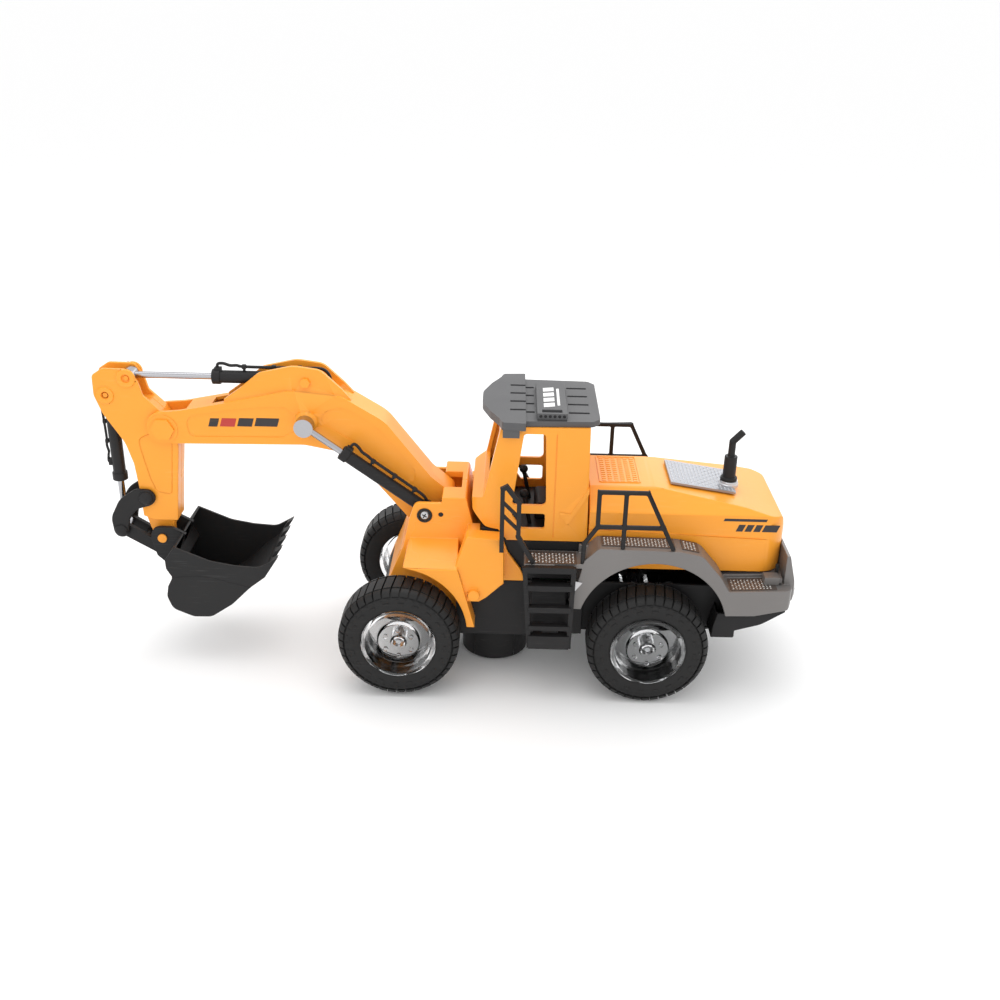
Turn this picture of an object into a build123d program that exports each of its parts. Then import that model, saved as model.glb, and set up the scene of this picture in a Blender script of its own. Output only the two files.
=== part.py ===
from build123d import *
import math
import os

# Toy excavator truck, millimetres. X runs to the tail, the boom reaches towards -X,
# Y runs to the truck's right-hand side, Z is up; 'left' names are on the -Y side.
# Places are measured from the ground point below the rear axle. At export the whole truck
# is moved so that the middle of its footprint is the origin.

os.makedirs("parts", exist_ok=True)

# ---------- driving dimensions ----------
tyre_radius = 37.5
tyre_width = 25.0
track_outer = 65.7          # outer face of a tyre from the middle plane
rim_radius = 22.95
axle_radius = 1.6
running_gap = 0.05          # radial clearance of every pin in its bore
pin_radius = 1.5
rear_axle = (0.0, 37.5)
front_axle = (-153.2, 38.8)  # the front wheels hang just clear of the ground

turret_x = -94.5            # swivelling drive unit under the chassis
turret_radius = 21.5
turret_bottom = 2.0
drive_wheel_radius = 11.5

boom_pivot = (-129.0, 110.0)
boom_half = 10.2            # half the boom's thickness
boom_ram_base = (-139.0, 109.5)
boom_ram_eye = (-212.0, 162.3)
boom_ram_y = 19.0
stick_pivot = (-300.7, 155.0)
stick_half = 7.5
stick_ram_base = (-212.0, 186.3)
stick_ram_eye = (-320.4, 186.3)
bucket_ram_base = (-334.3, 175.2)
rocker_pivot = (-316.0, 107.8)
rocker_end = (-334.5, 84.5)
bucket_pivot = (-308.6, 80.0)
bucket_link_pin = (-308.5, 68.5)
bucket_half = 31.0

ram_barrel_radius = 3.9
ram_collar_radius = 4.7
ram_collar_length = 5.0
ram_bore_radius = 3.25
ram_rod_radius = 2.0
link_play = 1.15            # extra radius of the hole where the bucket link is left open

chassis_half = 38.0
body_half = 56.0            # outer face of the rear fenders
cab_half = 38.0
wall = 2.0
shell = 1.8
emboss = 0.45               # depth of the sunk panels and raised lines moulded into the shells


# ---------- drawing helpers ----------
def rounded_face(points):
    """Closed outline in a plane from (u, v, corner radius); a missing radius is a sharp corner."""
    count = len(points)
    entries = []
    for i, (u, v, *rest) in enumerate(points):
        here = Vector(u, v)
        if not rest or rest[0] == 0:
            entries.append((here, None, here))
            continue
        before = (Vector(*points[i - 1][:2]) - here)
        after = (Vector(*points[(i + 1) % count][:2]) - here)
        half = math.radians(before.get_angle(after)) / 2
        reach = rest[0] / math.tan(half)
        start = here + before.normalized() * reach
        end = here + after.normalized() * reach
        inward = (before.normalized() + after.normalized()).normalized()
        middle = here + inward * (rest[0] / math.sin(half) - rest[0])
        entries.append((start, middle, end))
    edges = []
    for i, (start, middle, end) in enumerate(entries):
        if middle is not None:
            edges.append(Edge.make_three_point_arc(start, middle, end))
        following = entries[(i + 1) % count][0]
        if (following - end).length > 1e-4:
            edges.append(Edge.make_line(end, following))
    return make_face(edges)


def side_plate(outline, near, far):
    """Outline in the side view, as a face or (x, z, radius) points, filled from y near to y far."""
    face = outline if not isinstance(outline, list) else rounded_face(outline)
    return Pos(0, far, 0) * extrude(Plane.XZ * face, amount=far - near)


def plan_plate(outline, low, high):
    """Outline in the plan view, (x, y, radius), filled from z low to z high."""
    return Pos(0, 0, low) * extrude(rounded_face(outline), amount=high - low)


def cross_plate(outline, rear, front):
    """Outline across the truck, (y, z, radius), filled from x rear to x front."""
    return Pos(rear, 0, 0) * extrude(Plane.YZ * rounded_face(outline), amount=front - rear)


def block(x0, x1, y0, y1, z0, z1):
    centre = Pos((x0 + x1) / 2, (y0 + y1) / 2, (z0 + z1) / 2)
    return centre * Box(x1 - x0, y1 - y0, z1 - z0)


def across(place, radius, near, far):
    """Round bar along Y at (x, z)."""
    x, z = place
    return Pos(x, (near + far) / 2, z) * Rot(90, 0, 0) * Cylinder(radius, far - near)


def hexagon_across(place, across_flats, near, far):
    x, z = place
    face = RegularPolygon(across_flats / math.sqrt(3), 6)
    return Pos(x, far, z) * extrude(Plane.XZ * face, amount=far - near)


def upright(x, y, radius, low, high):
    return Pos(x, y, (low + high) / 2) * Cylinder(radius, high - low)


def bar(start, end, thickness, y):
    """Square bar in a side plane at y."""
    dx = end[0] - start[0]
    dz = end[1] - start[1]
    length = math.hypot(dx, dz) + thickness * 0.8
    middle = Pos((start[0] + end[0]) / 2, y, (start[1] + end[1]) / 2)
    return middle * Rot(0, -math.degrees(math.atan2(dz, dx)), 0) * Box(length, thickness, thickness)


def bars(route, thickness, y):
    solid = bar(route[0], route[1], thickness, y)
    for start, end in zip(route[1:], route[2:]):
        solid += bar(start, end, thickness, y)
    return solid


def other_side(solid):
    return mirror(solid, about=Plane.XZ)


def aimed(base, target, y):
    """Frame at base with its local X pointing at target, both (x, z)."""
    slope = math.degrees(math.atan2(target[1] - base[1], target[0] - base[0]))
    return Pos(base[0], y, base[1]) * Rot(0, -slope, 0)


def span(a, b):
    return math.hypot(b[0] - a[0], b[1] - a[1])


def along(start, end, radius):
    """Round bar along local X."""
    return Pos((start + end) / 2, 0, 0) * Rot(0, 90, 0) * Cylinder(radius, end - start)


def local_eye(centre, radius, half_width):
    return Pos(centre, 0, 0) * Rot(90, 0, 0) * Cylinder(radius, 2 * half_width)


nodes = {}


# ---------- wheels ----------
def lathe_y(profile, place, face_y, outward):
    """Turn a (radius, depth) profile about the Y axis; depth counts from the wheel's inner face."""
    x, z = place
    turned = revolve(Plane.XY * rounded_face(profile), Axis.Y)
    placed = Pos(x, face_y, z) * turned
    return placed if outward > 0 else other_side(placed)


tyre_profile = [
    (23.0, 0.6), (33.6, 0.0, 2.0), (37.5, 3.6, 1.5), (37.5, 21.4, 1.5), (33.6, 25.0, 2.0), (23.0, 24.4),
    (23.0, 21.6), (31.4, 22.0, 1.5), (34.9, 19.4, 1.0), (34.9, 5.6, 1.0), (31.4, 3.0, 1.5), (23.0, 3.4),
]
rim_profile = [
    (1.6, 8.0), (4.6, 8.0), (4.6, 16.6), (13.0, 17.2), (19.4, 12.0), (20.6, 0.8), (22.95, 0.8),
    (22.95, 24.2), (22.2, 24.9), (20.4, 24.9), (19.6, 14.4), (13.4, 19.4), (12.4, 21.8),
    (5.2, 21.8), (4.4, 24.2), (0.0, 24.2), (0.0, 19.6), (1.6, 19.6),
]
inner_face = track_outer - tyre_width
rim_bolt_circle = 9.0


def rim(place, side):
    turned = lathe_y(rim_profile, place, inner_face, side)
    for i in range(6):
        angle = math.radians(60 * i + 30)
        spot = (place[0] + rim_bolt_circle * math.cos(angle),
            place[1] + rim_bolt_circle * math.sin(angle))
        bolt = hexagon_across(spot, 2.6, inner_face + 21.5, inner_face + 23.2)
        turned += bolt if side > 0 else other_side(bolt)
    return turned


for end_name, place in (("front", front_axle), ("rear", rear_axle)):
    for side_name, side in (("left", -1), ("right", 1)):
        nodes[f"{end_name}_tyre_{side_name}"] = lathe_y(tyre_profile, place, inner_face, side)
        nodes[f"{end_name}_rim_{side_name}"] = rim(place, side)
    nodes[f"{end_name}_axle"] = across(place, axle_radius, -inner_face - 19.5, inner_face + 19.5)

# ---------- chassis ----------
bay_floor = 31.0            # underside of the floor above the drive unit
rear_floor = 36.0
chassis_side = [
    (-168, 34), (-160, 31, 3), (-72, bay_floor), (-72, rear_floor), (-9, rear_floor), (-6, 32.5),
    (6, 32.5),
    (9, rear_floor), (40, 38.5), (54, 41.4), (54, 46), (72, 52), (82.5, 59.5), (82.5, 70), (60, 70),
    (-72, 71),
    (-89, 70), (-101, 61), (-163.2, 61), (-166.8, 51.8),
]
chassis_hollow = [
    (-166, 36), (-160, 33, 2), (-70, bay_floor + wall), (-70, rear_floor + wall),
    (-11, rear_floor + wall),
    (-8, 34.5), (8, 34.5), (11, rear_floor + wall), (40, 40.5), (52, 43.4), (52, 48), (71, 54),
    (80.5, 61),
    (80.5, 90), (-161, 90), (-161, 61), (-164.6, 51.6),
]
skirt_side = [
    (39.8, 41.4), (54.2, 41.4, 1), (54.2, 46.4, 1), (70, 51.2, 15), (83.9, 60.4), (83.9, 63.4),
    (63.9, 59.0),
    (42.6, 58.4), (40.6, 50),
]
skirt_hollow = [
    (41.8, 43.4), (52.2, 43.4), (52.2, 48.0), (69.4, 53.2), (81.9, 61.4), (81.9, 80), (44.4, 80),
    (42.6, 50),
]
skirt_y = 52.0
nose_half = 25.2            # the front of the chassis is narrower, between the tower plates
nose_end = -119.0
neck_radius = 9.9
neck_bore = 10.0
battery_door_x = (-70.5, -23.5)
battery_door_half = 27.0
switch_place = (20.0, 20.0)

chassis = side_plate(chassis_side, -chassis_half, chassis_half)
chassis -= side_plate(chassis_hollow, -chassis_half + wall, chassis_half - wall)
for side in (1, -1):
    chassis -= block(-175, nose_end, min(side * nose_half, side * 60),
        max(side * nose_half, side * 60), 0, 100)
    cheek = block(-162, nose_end + wall, nose_half - wall, nose_half, 33, 61)
    cheek += block(nose_end, nose_end + wall, nose_half - wall, chassis_half, bay_floor, 61)
    bearing = across(front_axle, 4.5, nose_half - 8, nose_half) + across(rear_axle, 4.5,
        chassis_half - 10, chassis_half)
    step_mount = side_plate(
        [(-72, 71), (-72, 28.5, 1), (-47.5, 28.5, 1), (-47.5, 37, 1), (-40, 37), (-40, 58),
        (-50.5, 58), (-50.5, 71)],
        chassis_half - 1, chassis_half + 7,
    )
    skirt = side_plate(skirt_side, chassis_half - 1, skirt_y)
    skirt -= side_plate(skirt_hollow, chassis_half, skirt_y - wall)
    if side < 0:
        cheek = other_side(cheek)
        bearing = other_side(bearing)
        step_mount = other_side(step_mount)
        skirt = other_side(skirt)
    chassis += skirt
    chassis += cheek
    chassis += bearing
    chassis += step_mount
for place in (front_axle, rear_axle):
    chassis -= across(place, axle_radius + running_gap, -60, 60)
chassis -= upright(turret_x, 0, neck_bore, 25, 45)
chassis -= block(*battery_door_x, -battery_door_half, battery_door_half, 30, rear_floor + wall + 1)
switch_slot = (11.0, 5.2)
chassis -= Pos(switch_place[0], switch_place[1], 38) * Box(switch_slot[0], switch_slot[1], 8)
nodes["chassis"] = chassis

# ---------- battery compartment and electrics ----------
cell_radius = 7.0
cell_length = 49.0
cell_x = [-62.0, -47.0, -32.0]
cell_z = 46.4
box_top = 56.0
tray = block(battery_door_x[0] + 0.1, battery_door_x[1] - 0.1, -27.6, 27.6, rear_floor + wall, box_top)
tray -= block(battery_door_x[0] + 1.3, battery_door_x[1] - 1.3, -26.4, 26.4, 30, box_top - 1.2)
nodes["battery_box"] = tray
door = block(
    battery_door_x[0] + 0.2, battery_door_x[1] - 0.2,
    -battery_door_half + 0.2, battery_door_half - 0.2, rear_floor, rear_floor + wall,
)
door_screw_x = -27.2
door -= upright(door_screw_x, 0, 1.4, 30, 45)
nodes["battery_door"] = door
screw = upright(door_screw_x, 0, 1.3, rear_floor, rear_floor + 2.6)
screw += upright(door_screw_x, 0, 2.6, rear_floor - 1.4, rear_floor)
nodes["battery_door_screw"] = screw
cells = []
contacts = []
for x in cell_x:
    cell = Pos(x, 0, cell_z) * Rot(90, 0, 0) * Cylinder(cell_radius, cell_length)
    cell += Pos(x, cell_length / 2 + 0.5, cell_z) * Rot(90, 0, 0) * Cylinder(2.7, 1.0)
    cells.append(cell)
    for y in (-25.9, 25.9):
        contacts.append(Pos(x, y, cell_z) * Box(9, 0.7, 9))
nodes["battery_cells"] = Compound(children=cells)
nodes["battery_contacts"] = Compound(children=contacts)
nodes["circuit_board"] = block(-66, -28, -20, 20, box_top, box_top + 1.4) + block(-58, -44, -8, 6,
    box_top + 1.4, box_top + 4)
speaker = upright(24, -12, 13, 41.0, 44.0) + upright(24, -12, 8, 44.0, 49.0)
nodes["speaker"] = speaker
slider_height = rear_floor + 1.0
slider = Pos(switch_place[0] - 2, switch_place[1], slider_height) * Box(4.4, 4.4, 6.0)
slider += Pos(switch_place[0] - 2, switch_place[1], slider_height + 4.2) * Box(4.4, 8.0, 2.4)
nodes["power_switch"] = slider

# ---------- swivelling drive unit ----------
housing = upright(turret_x, 0, turret_radius, turret_bottom, 30.3)
housing += upright(turret_x, 0, neck_radius, 30.0, 33.5)
housing += upright(turret_x, 0, 13.5, 33.5, 35.4)
drive_axle_place = (turret_x, drive_wheel_radius)
for side in (1, -1):
    y = side * 13.0
    housing -= block(turret_x - 13, turret_x + 13, y - 4.2, y + 4.2, 0, 24.5)
housing -= across(drive_axle_place, 1.0 + running_gap, -19, 19)
nodes["turret_housing"] = housing
nodes["drive_motor"] = upright(turret_x, 0, 6.5, 35.4, 56.0) + upright(turret_x, 0, 1.2, 56.0, 58.0)
nodes["drive_axle"] = across(drive_axle_place, 1.0, -18.6, 18.6)
drive_wheels = []
for side in (1, -1):
    wheel = across(drive_axle_place, drive_wheel_radius, 9.6, 16.4)
    wheel -= across(drive_axle_place, 1.0, 9, 17)
    wheel = fillet(wheel.edges().filter_by(GeomType.CIRCLE).sort_by(SortBy.RADIUS)[-2:], 1.0)
    drive_wheels.append(wheel if side > 0 else other_side(wheel))
nodes["drive_wheels"] = Compound(children=drive_wheels)

# ---------- front body: two mirrored mouldings with the boom tower and front fenders ----------
tower_outer = 28.5
tower_inner = 25.5
fender_face_y = 52.0
tower_outline = [
    (-168.5, 37), (-166.8, 52), (-160, 69.4), (-152.4, 88), (-148.6, 106.7), (-145.0, 117.6, 4),
    (-128.4, 117.6),
    (-128.4, 121.6, 1), (-113.4, 121.6, 2), (-108.4, 101), (-104.6, 95.5), (-104.6, 61.2),
    (-119.3, 61.2),
    (-119.3, 37),
]
fender_outline = [
    (-152, 80), (-147.2, 99), (-118.2, 99), (-117.6, 84.6), (-106.8, 44.2), (-112.2, 44.2),
]
arch_centre = (-156.5, 40.0)
arch_radius = 44.9
fender_top = [(tower_inner, 30), (fender_face_y, 30), (fender_face_y, 84.4, 1.2), (tower_inner, 95.2)]
fender_top_inside = [(tower_outer, 20), (fender_face_y - wall, 20), (fender_face_y - wall, 82.6),
    (tower_outer, 91.7)]
panel_outline = [
    (-112.5, 105.8, 2), (-90, 104.4, 1), (-89.4, 74.7), (-100.0, 64.4), (-104.4, 61.4), (-113.0, 61.4),
    (-119.0, 84.6),
]
panel_inside = [
    (-111.0, 103.6), (-92, 102.4), (-91.5, 76), (-100.8, 67), (-105.2, 63.6), (-109.8, 63.6),
    (-115, 84),
]
boss_place = (-107.6, 67.0)   # round screw boss behind the front wheel
shoulder_outline = [(-117.0, 84), (-112.0, 104.6), (-104.4, 104.6), (-104.4, 61.4), (-111.6, 61.4)]
panel_y = 49.8
step_outline = [(-90.2, 99.6), (-87.2, 91.1), (-79.3, 80.1), (-76.2, 72.0), (-90.2, 72.0)]
cowl_outline = [
    (-168.5, 37), (-166.8, 52), (-160, 69.4), (-154.4, 84), (-140, 90), (-128, 88), (-117.0, 88),
    (-117.0, 117.4),
    (-128.4, 117.4), (-128.4, 121.6, 1), (-113.4, 121.6, 2), (-108.4, 101), (-104.6, 95.5),
    (-104.6, 61.2),
    (-107, 61.2), (-107, 86), (-128, 86), (-140, 88), (-152.6, 82), (-158.1, 68.8), (-164.8, 51.4),
    (-166.5, 37),
]


def front_body_half():
    moulding = side_plate(tower_outline, tower_inner, tower_outer)
    cowl = side_plate(cowl_outline, 0, tower_inner)
    cowl -= block(-130, -117.0, -1, boom_half + 1.6, 90, 130)
    moulding += cowl
    fender = side_plate(fender_outline, tower_inner, fender_face_y)
    fender &= cross_plate(fender_top, -160, -100)
    hollow = side_plate(
        [(-152, 78), (-145.2, 97), (-120.2, 97), (-119.6, 84.0), (-109.0, 42.0), (-112.2, 42.0)],
        tower_outer, fender_face_y - wall,
    )
    hollow &= cross_plate(fender_top_inside, -160, -100)
    hollow -= across(arch_centre, arch_radius + wall, 20, 60)
    fender -= hollow
    fender -= across(arch_centre, arch_radius, 20, 60)
    moulding += fender
    panel = side_plate(panel_outline, chassis_half + 0.2, panel_y)
    panel -= side_plate(panel_inside, chassis_half, panel_y - wall)
    moulding += panel
    moulding += side_plate(shoulder_outline, tower_outer - 1, chassis_half + 0.4)
    moulding += side_plate(step_outline, chassis_half + 0.2, chassis_half + 3)
    moulding += across(boss_place, 3.6, panel_y - 2.5, fender_face_y + 1.0)
    moulding += block(-91.5, -89.8, chassis_half + 0.2, panel_y - 0.5, 74.0, 99.0)
    moulding -= block(nose_end - 0.3, -80, 0, chassis_half + 0.2, 20, 61.2)
    moulding -= block(-180, nose_end, 0, tower_inner, 20, 61.2)
    moulding -= across(front_axle, 3.0, 20, 60)
    moulding -= across(boom_pivot, pin_radius, 0, 60)
    moulding -= across(boom_ram_base, pin_radius, 0, 60)
    moulding -= across(boom_ram_base, 2.9, tower_outer - 1.2, 60)
    return moulding


front_half = front_body_half()
nodes["front_body_left"] = other_side(front_half)
nodes["front_body_right"] = front_half
tower_pins = [across(boom_pivot, pin_radius, -tower_outer + 0.4, tower_outer - 0.4)]
for side in (1, -1):
    stub = across(boom_ram_base, pin_radius, 13.2, tower_outer - 0.8)
    stub += across(boom_ram_base, 2.7, tower_outer - 1.2, tower_outer + 0.4)
    tower_pins.append(stub if side > 0 else other_side(stub))
nodes["tower_pins"] = Compound(children=tower_pins)

# ---------- cab ----------
base_outline = [
    (-103.8, 74), (-103.8, 106.6), (-101, 106.4), (-94.0, 105.2), (-88.6, 98.4), (-39.6, 98.4),
    (-39.6, 72), (-88.8, 72),
    (-92.0, 74),
]
cab_base = side_plate(base_outline, -37.6, 37.6)
cab_base -= side_plate(
    [(-101.8, 60), (-101.8, 104.4), (-95.0, 103.0), (-89.6, 96), (-41.6, 96), (-41.6, 60)], -35.6, 35.6
)
nodes["cab_base"] = cab_base

cab_outline = [
    (-39.2, 98.8), (-88.2, 98.8), (-93.6, 106.0), (-101.6, 107.2, 4), (-109.6, 115.5, 4),
    (-110.0, 123.4, 1.2),
    (-102.8, 126.5, 2), (-93.0, 172.6), (-40.6, 172.6),
]
cab_plan = [(-112, -cab_half, 17), (-112, cab_half, 17), (-38, cab_half, 3), (-38, -cab_half, 3)]
cab_plan_inside = [(-109, -35.8, 15), (-109, 35.8, 15), (-41.2, 35.8, 2), (-41.2, -35.8, 2)]
cab_inside = [
    (-41.4, 90), (-86.6, 90), (-92.0, 108.2), (-100.6, 109.4, 2.5), (-107.2, 116.4, 2.5),
    (-107.4, 121.6),
    (-100.8, 124.6, 1.5), (-91.2, 170.4), (-42.6, 170.4),
]
door_window = [(-79.4, 168.6, 2), (-66.6, 168.6, 2), (-65.0, 122.4, 3), (-85.6, 122.4, 2)]
low_window = [(-86.4, 117.0, 1), (-65.4, 117.0, 1.5), (-65.4, 106.8, 1.5), (-79.4, 106.8, 1)]
cab = side_plate(cab_outline, -cab_half, cab_half) & plan_plate(cab_plan, 90, 180)
cab -= side_plate(cab_inside, -35.8, 35.8) & plan_plate(cab_plan_inside, 80, 180)
for window in (door_window, low_window):
    cab -= side_plate(window, -60, 60)
cab -= side_plate([(-120, 128.2), (-95, 128.2), (-95, 150), (-88, 167.4), (-120, 167.4)], -31.5, 31.5)
cab -= block(-48, -30, -24, 24, 134, 164)
door_seam = [(-60.4, 101.2), (-60.4, 168.6), (-59.6, 168.6), (-59.6, 101.2)]
cab_ridge = [(-39.4, 135.4), (-39.4, 131.0), (-51.4, 109.6, 1), (-56.6, 116.4, 1), (-56.6, 118.6),
    (-50.2, 117.4)]
for side in (1, -1):
    seam = side_plate(door_seam, cab_half - emboss, cab_half + 1)
    ridge = side_plate(cab_ridge, cab_half - 1, cab_half + 0.7)
    cab -= seam if side > 0 else other_side(seam)
    cab += ridge if side > 0 else other_side(ridge)
nodes["cab"] = cab

floor_top = 101.4
cab_floor = block(-85.4, -42.0, -35.2, 35.2, 98.9, floor_top)
cab_floor += side_plate([(-97, 110), (-99.6, 122.4), (-88, 127.5, 3), (-84.5, 112), (-84.5, 99),
    (-86.0, 99), (-91.4, 109.0)], -33, 33)
nodes["cab_floor"] = cab_floor
seat = side_plate([(-71, 101.4), (-71, 112.5, 3), (-52, 112.5, 2), (-47.5, 137, 1.5),
    (-43.0, 137, 1.5), (-45, 101.4)], -13, 13)
nodes["seat"] = seat
levers = []
for y in (-19, 19):
    lever = Pos(-76, y, 110.7) * Rot(0, -12, 0) * Cylinder(1.3, 19.4) + Pos(-78.1, y,
        121.5) * Sphere(2.8)
    levers.append(lever & block(-90, -60, y - 5, y + 5, floor_top, 130))
nodes["control_levers"] = Compound(children=levers)

# ---------- roof ----------
roof_low = 172.8
roof_top = 176.2
visor_outline = [
    (-78.6, -44.4, 1), (-92.3, -43.2, 2), (-94.2, -36.4, 2), (-99.6, -25, 20), (-104.8, -9, 20),
    (-104.8, 9, 20),
    (-99.6, 25, 20), (-94.2, 36.4, 2), (-92.3, 43.2, 2), (-78.6, 44.4, 1),
]
roof = plan_plate([(-80, -37.2), (-80, 37.2), (-39, 35.6, 3), (-34.8, 30.4, 3), (-34.8, -30.4, 3),
    (-39, -35.6, 3)], roof_low, roof_top)
roof += plan_plate(visor_outline, roof_low, 177.6)
for side in (1, -1):
    clamp = block(-92.0, -82.2, 38.3, 43.0, 167.8, 174)
    roof += clamp if side > 0 else other_side(clamp)
    for row in (7.2, 21.6):
        for x0, x1 in ((-88.0, -73.4), (-53.0, -40.6)):
            roof -= block(x0, x1, side * row - 1.3, side * row + 1.3, roof_top - 1.6, 190)
nodes["roof"] = roof
roof_plate = block(-72.2, -54.4, -25.4, 22.0, roof_top, 179.6)
roof_plate += block(-72.2, -54.4, -34.6, -25.4, roof_top, 180.4)
roof_plate -= block(-69.2, -57.4, -32.4, -27.8, 178.2, 182)
nodes["roof_plate"] = roof_plate


# ---------- engine hood ----------
hood_half = 37.0


def hood_block(inset):
    side_view = [
        (-38.4 + inset, 80.2 - 3 * inset), (-38.4 + inset, 130.4 - inset), (2, 130.4 - inset, 60),
        (57, 121.8 - inset, 12), (80.4 - inset, 116.0 - inset, 4), (83.0 - inset, 103.8),
        (81.4 - inset, 80.2 - 3 * inset),
    ]
    edge = hood_half - inset
    section = [(-edge, 60), (edge, 60), (edge, 117.6, 5), (23.6, 130.6 - inset, 4),
        (-23.6, 130.6 - inset, 4), (-edge, 117.6, 5)]
    corner = 15 - inset
    plan = [(-45, -edge), (83.0 - inset, -edge, corner), (83.0 - inset, edge, corner), (-45, edge)]
    return side_plate(side_view, -60, 60) & cross_plate(section, -50, 100) & plan_plate(plan, 50, 140)


hood = hood_block(0) - hood_block(wall)
upper_flank = [(-45, 107.0), (-37.6, 107.0), (90, 101.9), (90, 118.6), (-45, 118.6)]
for side in (1, -1):
    skim = side_plate(upper_flank, hood_half - emboss, hood_half + 1)
    hood -= skim if side > 0 else other_side(skim)
nodes["hood"] = hood
tread_top = [(12, 130.2), (52.6, 124.0)]
tread_slope = math.degrees(math.atan2(tread_top[0][1] - tread_top[1][1],
    tread_top[1][0] - tread_top[0][0]))
tread_length = span(*tread_top)
tread_plate = Pos(32.3, 0, 127.35) * Rot(0, tread_slope, 0) * Box(tread_length, 35, 1.4)
nodes["hood_tread_plate"] = tread_plate - hood_block(0)

exhaust_place = (49.6, -6.0)
exhaust = upright(*exhaust_place, 4.0, 130.6, 144.6) + upright(*exhaust_place, 5.2, 125.0, 130.6)
exhaust += upright(*exhaust_place, 2.2, 144.6, 154.2)
exhaust += Pos(exhaust_place[0] + 2.6, exhaust_place[1], 157.0) * Rot(0, 42, 0) * Cylinder(2.2, 10.0)
exhaust = exhaust - hood_block(0) - nodes["hood_tread_plate"]
nodes["exhaust_stack"] = exhaust.solids().sort_by(SortBy.VOLUME)[-1]

# ---------- rear body: fenders, side decks and bumper ----------
fender_side = [
    (-49.0, 61.6), (-41.4, 94.8, 3), (-33.2, 103.2, 3), (15.4, 102.4, 10), (29.5, 99.6, 8),
    (41.6, 85.5), (47.4, 75.8, 2),
    (86.2, 77.6, 1), (86.2, 64.6, 3), (63.9, 59.4), (43.4, 58.8),
]
rear_arch_centre = (2.0, 48.2)
rear_arch_radius = 45.8
rear_face = rounded_face(fender_side)
arch_disc = Pos(*rear_arch_centre) * Circle(rear_arch_radius)
rear_face = (rear_face - arch_disc).faces().sort_by(SortBy.AREA)[-1]
fender_solid = side_plate(rear_face, chassis_half, body_half)
inner_fender = [
    (-46.6, 58), (-39.4, 93.8, 2), (-32.2, 101.2, 2), (15.2, 100.4, 8), (28.4, 97.8, 6), (39.8, 84.6),
    (46.0, 73.8, 1),
    (84.2, 75.6, 1), (84.2, 66.2, 2), (63.5, 61.4), (43.0, 61.0),
]
pocket = side_plate(inner_fender, chassis_half - 1, body_half - wall)
pocket -= across(rear_arch_centre, rear_arch_radius + wall, 0, 80)
rear_side = fender_solid - pocket
rear_side += block(-77.4, -41.0, 38.4, 57.2, 89.6, 92.6)
rear_side += block(-44.0, -38.6, 38.4, 41.0, 61.6, 98.0)
bumper = side_plate([(43.4, 71.2), (43.4, 78), (86, 79.8), (86, 62), (84.2, 62), (84.2, 71.2)],
    -chassis_half, chassis_half)
bumper += side_plate([(84.2, 64.0), (90.4, 67.6, 1), (90.4, 71.4, 1), (84.0, 96.6, 1), (81.8, 96.6),
    (81.8, 79)], -47, 47)
corner_trim = plan_plate(
    [(-60, -body_half), (84.0, -body_half, 3), (90.4, -42, 3), (90.4, 42, 3), (84.0, body_half, 3),
    (-60, body_half)], 50, 110
)
rear_body = rear_side + other_side(rear_side) + bumper
front_part = block(-80, -59, -60, 60, 50, 110) & rear_body
rear_body = (rear_body & corner_trim) + front_part
rear_body -= hood_block(-0.2)
nodes["rear_body"] = rear_body
lamps = []
for side in (1, -1):
    lamp = block(69.5, 78.5, 41.5, 48.5, 77.6, 82.6) + block(78.5, 80.4, 42.4, 47.6, 78.4, 81.8)
    lamps.append(lamp if side > 0 else other_side(lamp))
nodes["tail_lamps"] = Compound(children=lamps) - rear_body - hood_block(-0.2)

# ---------- rails, ladders and grab rails ----------
rail_y = 54.2
rail_size = 2.6
rail = bars([(-18.8, 102.8), (-18.8, 139.8)], rail_size, rail_y)
rail += bars([(-42.6, 82), (-42.0, 105.8), (-34.6, 117.2), (-34.6, 139.8), (-6.2, 139.8),
    (11.2, 103.6)], rail_size, rail_y)
rail += bars([(-34.6, 117.2), (4.6, 117.2)], rail_size, rail_y)
rail = rail - nodes["rear_body"]
rail = rail.solids().sort_by(SortBy.VOLUME)[-1]
nodes["rail_left"] = other_side(rail)
nodes["rail_right"] = rail

ladder_y = 59.6
ladder = bars([(-77.0, 91.0), (-73.0, 37.2)], 2.8, ladder_y)
ladder += bars([(-47.6, 91.0), (-48.6, 37.2)], 2.8, ladder_y)
ladder_steps = [
    (-75.0, -48.0, 78.6, 3.6), (-74.0, -48.2, 63.6, 3.6), (-73.6, -48.6, 50.8, 3.0),
    (-73.4, -48.6, 40.6, 9.0),
]
for x0, x1, z, height in ladder_steps:
    ladder += block(x0, x1, ladder_y - 2.4, ladder_y + 2.4, z - height / 2, z + height / 2)
ladder += block(-76.6, -48.0, ladder_y - 1.8, ladder_y + 1.4, 88.4, 92.4)
ladder += block(-70.6, -65.2, chassis_half + 7.0, ladder_y, 40.0, 44.0) + block(-55, -50,
    chassis_half + 7.0, ladder_y, 40.0, 44.0)
ladder -= nodes["rear_body"]
nodes["ladder_left"] = other_side(ladder)
nodes["ladder_right"] = ladder

grab_y = 56.0
grab = bars([(-91.2, 104.6), (-91.2, 141.2), (-88.8, 142.6), (-81.4, 132.4), (-81.4, 110.4),
    (-72.4, 93.9)], 2.6, grab_y)
grab += bars([(-91.2, 124.6), (-81.4, 114.6)], 1.8, grab_y) + bars([(-91.2, 133.0), (-81.4, 123.0)],
    1.8, grab_y)
grab += block(-92.5, -89.9, panel_y, grab_y + 1.3, 100.0, 106.0)
grab -= nodes["rear_body"]
grab -= front_half
grab = grab.solids().sort_by(SortBy.VOLUME)[-1]
nodes["grab_rail_left"] = other_side(grab)
nodes["grab_rail_right"] = grab

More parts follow.
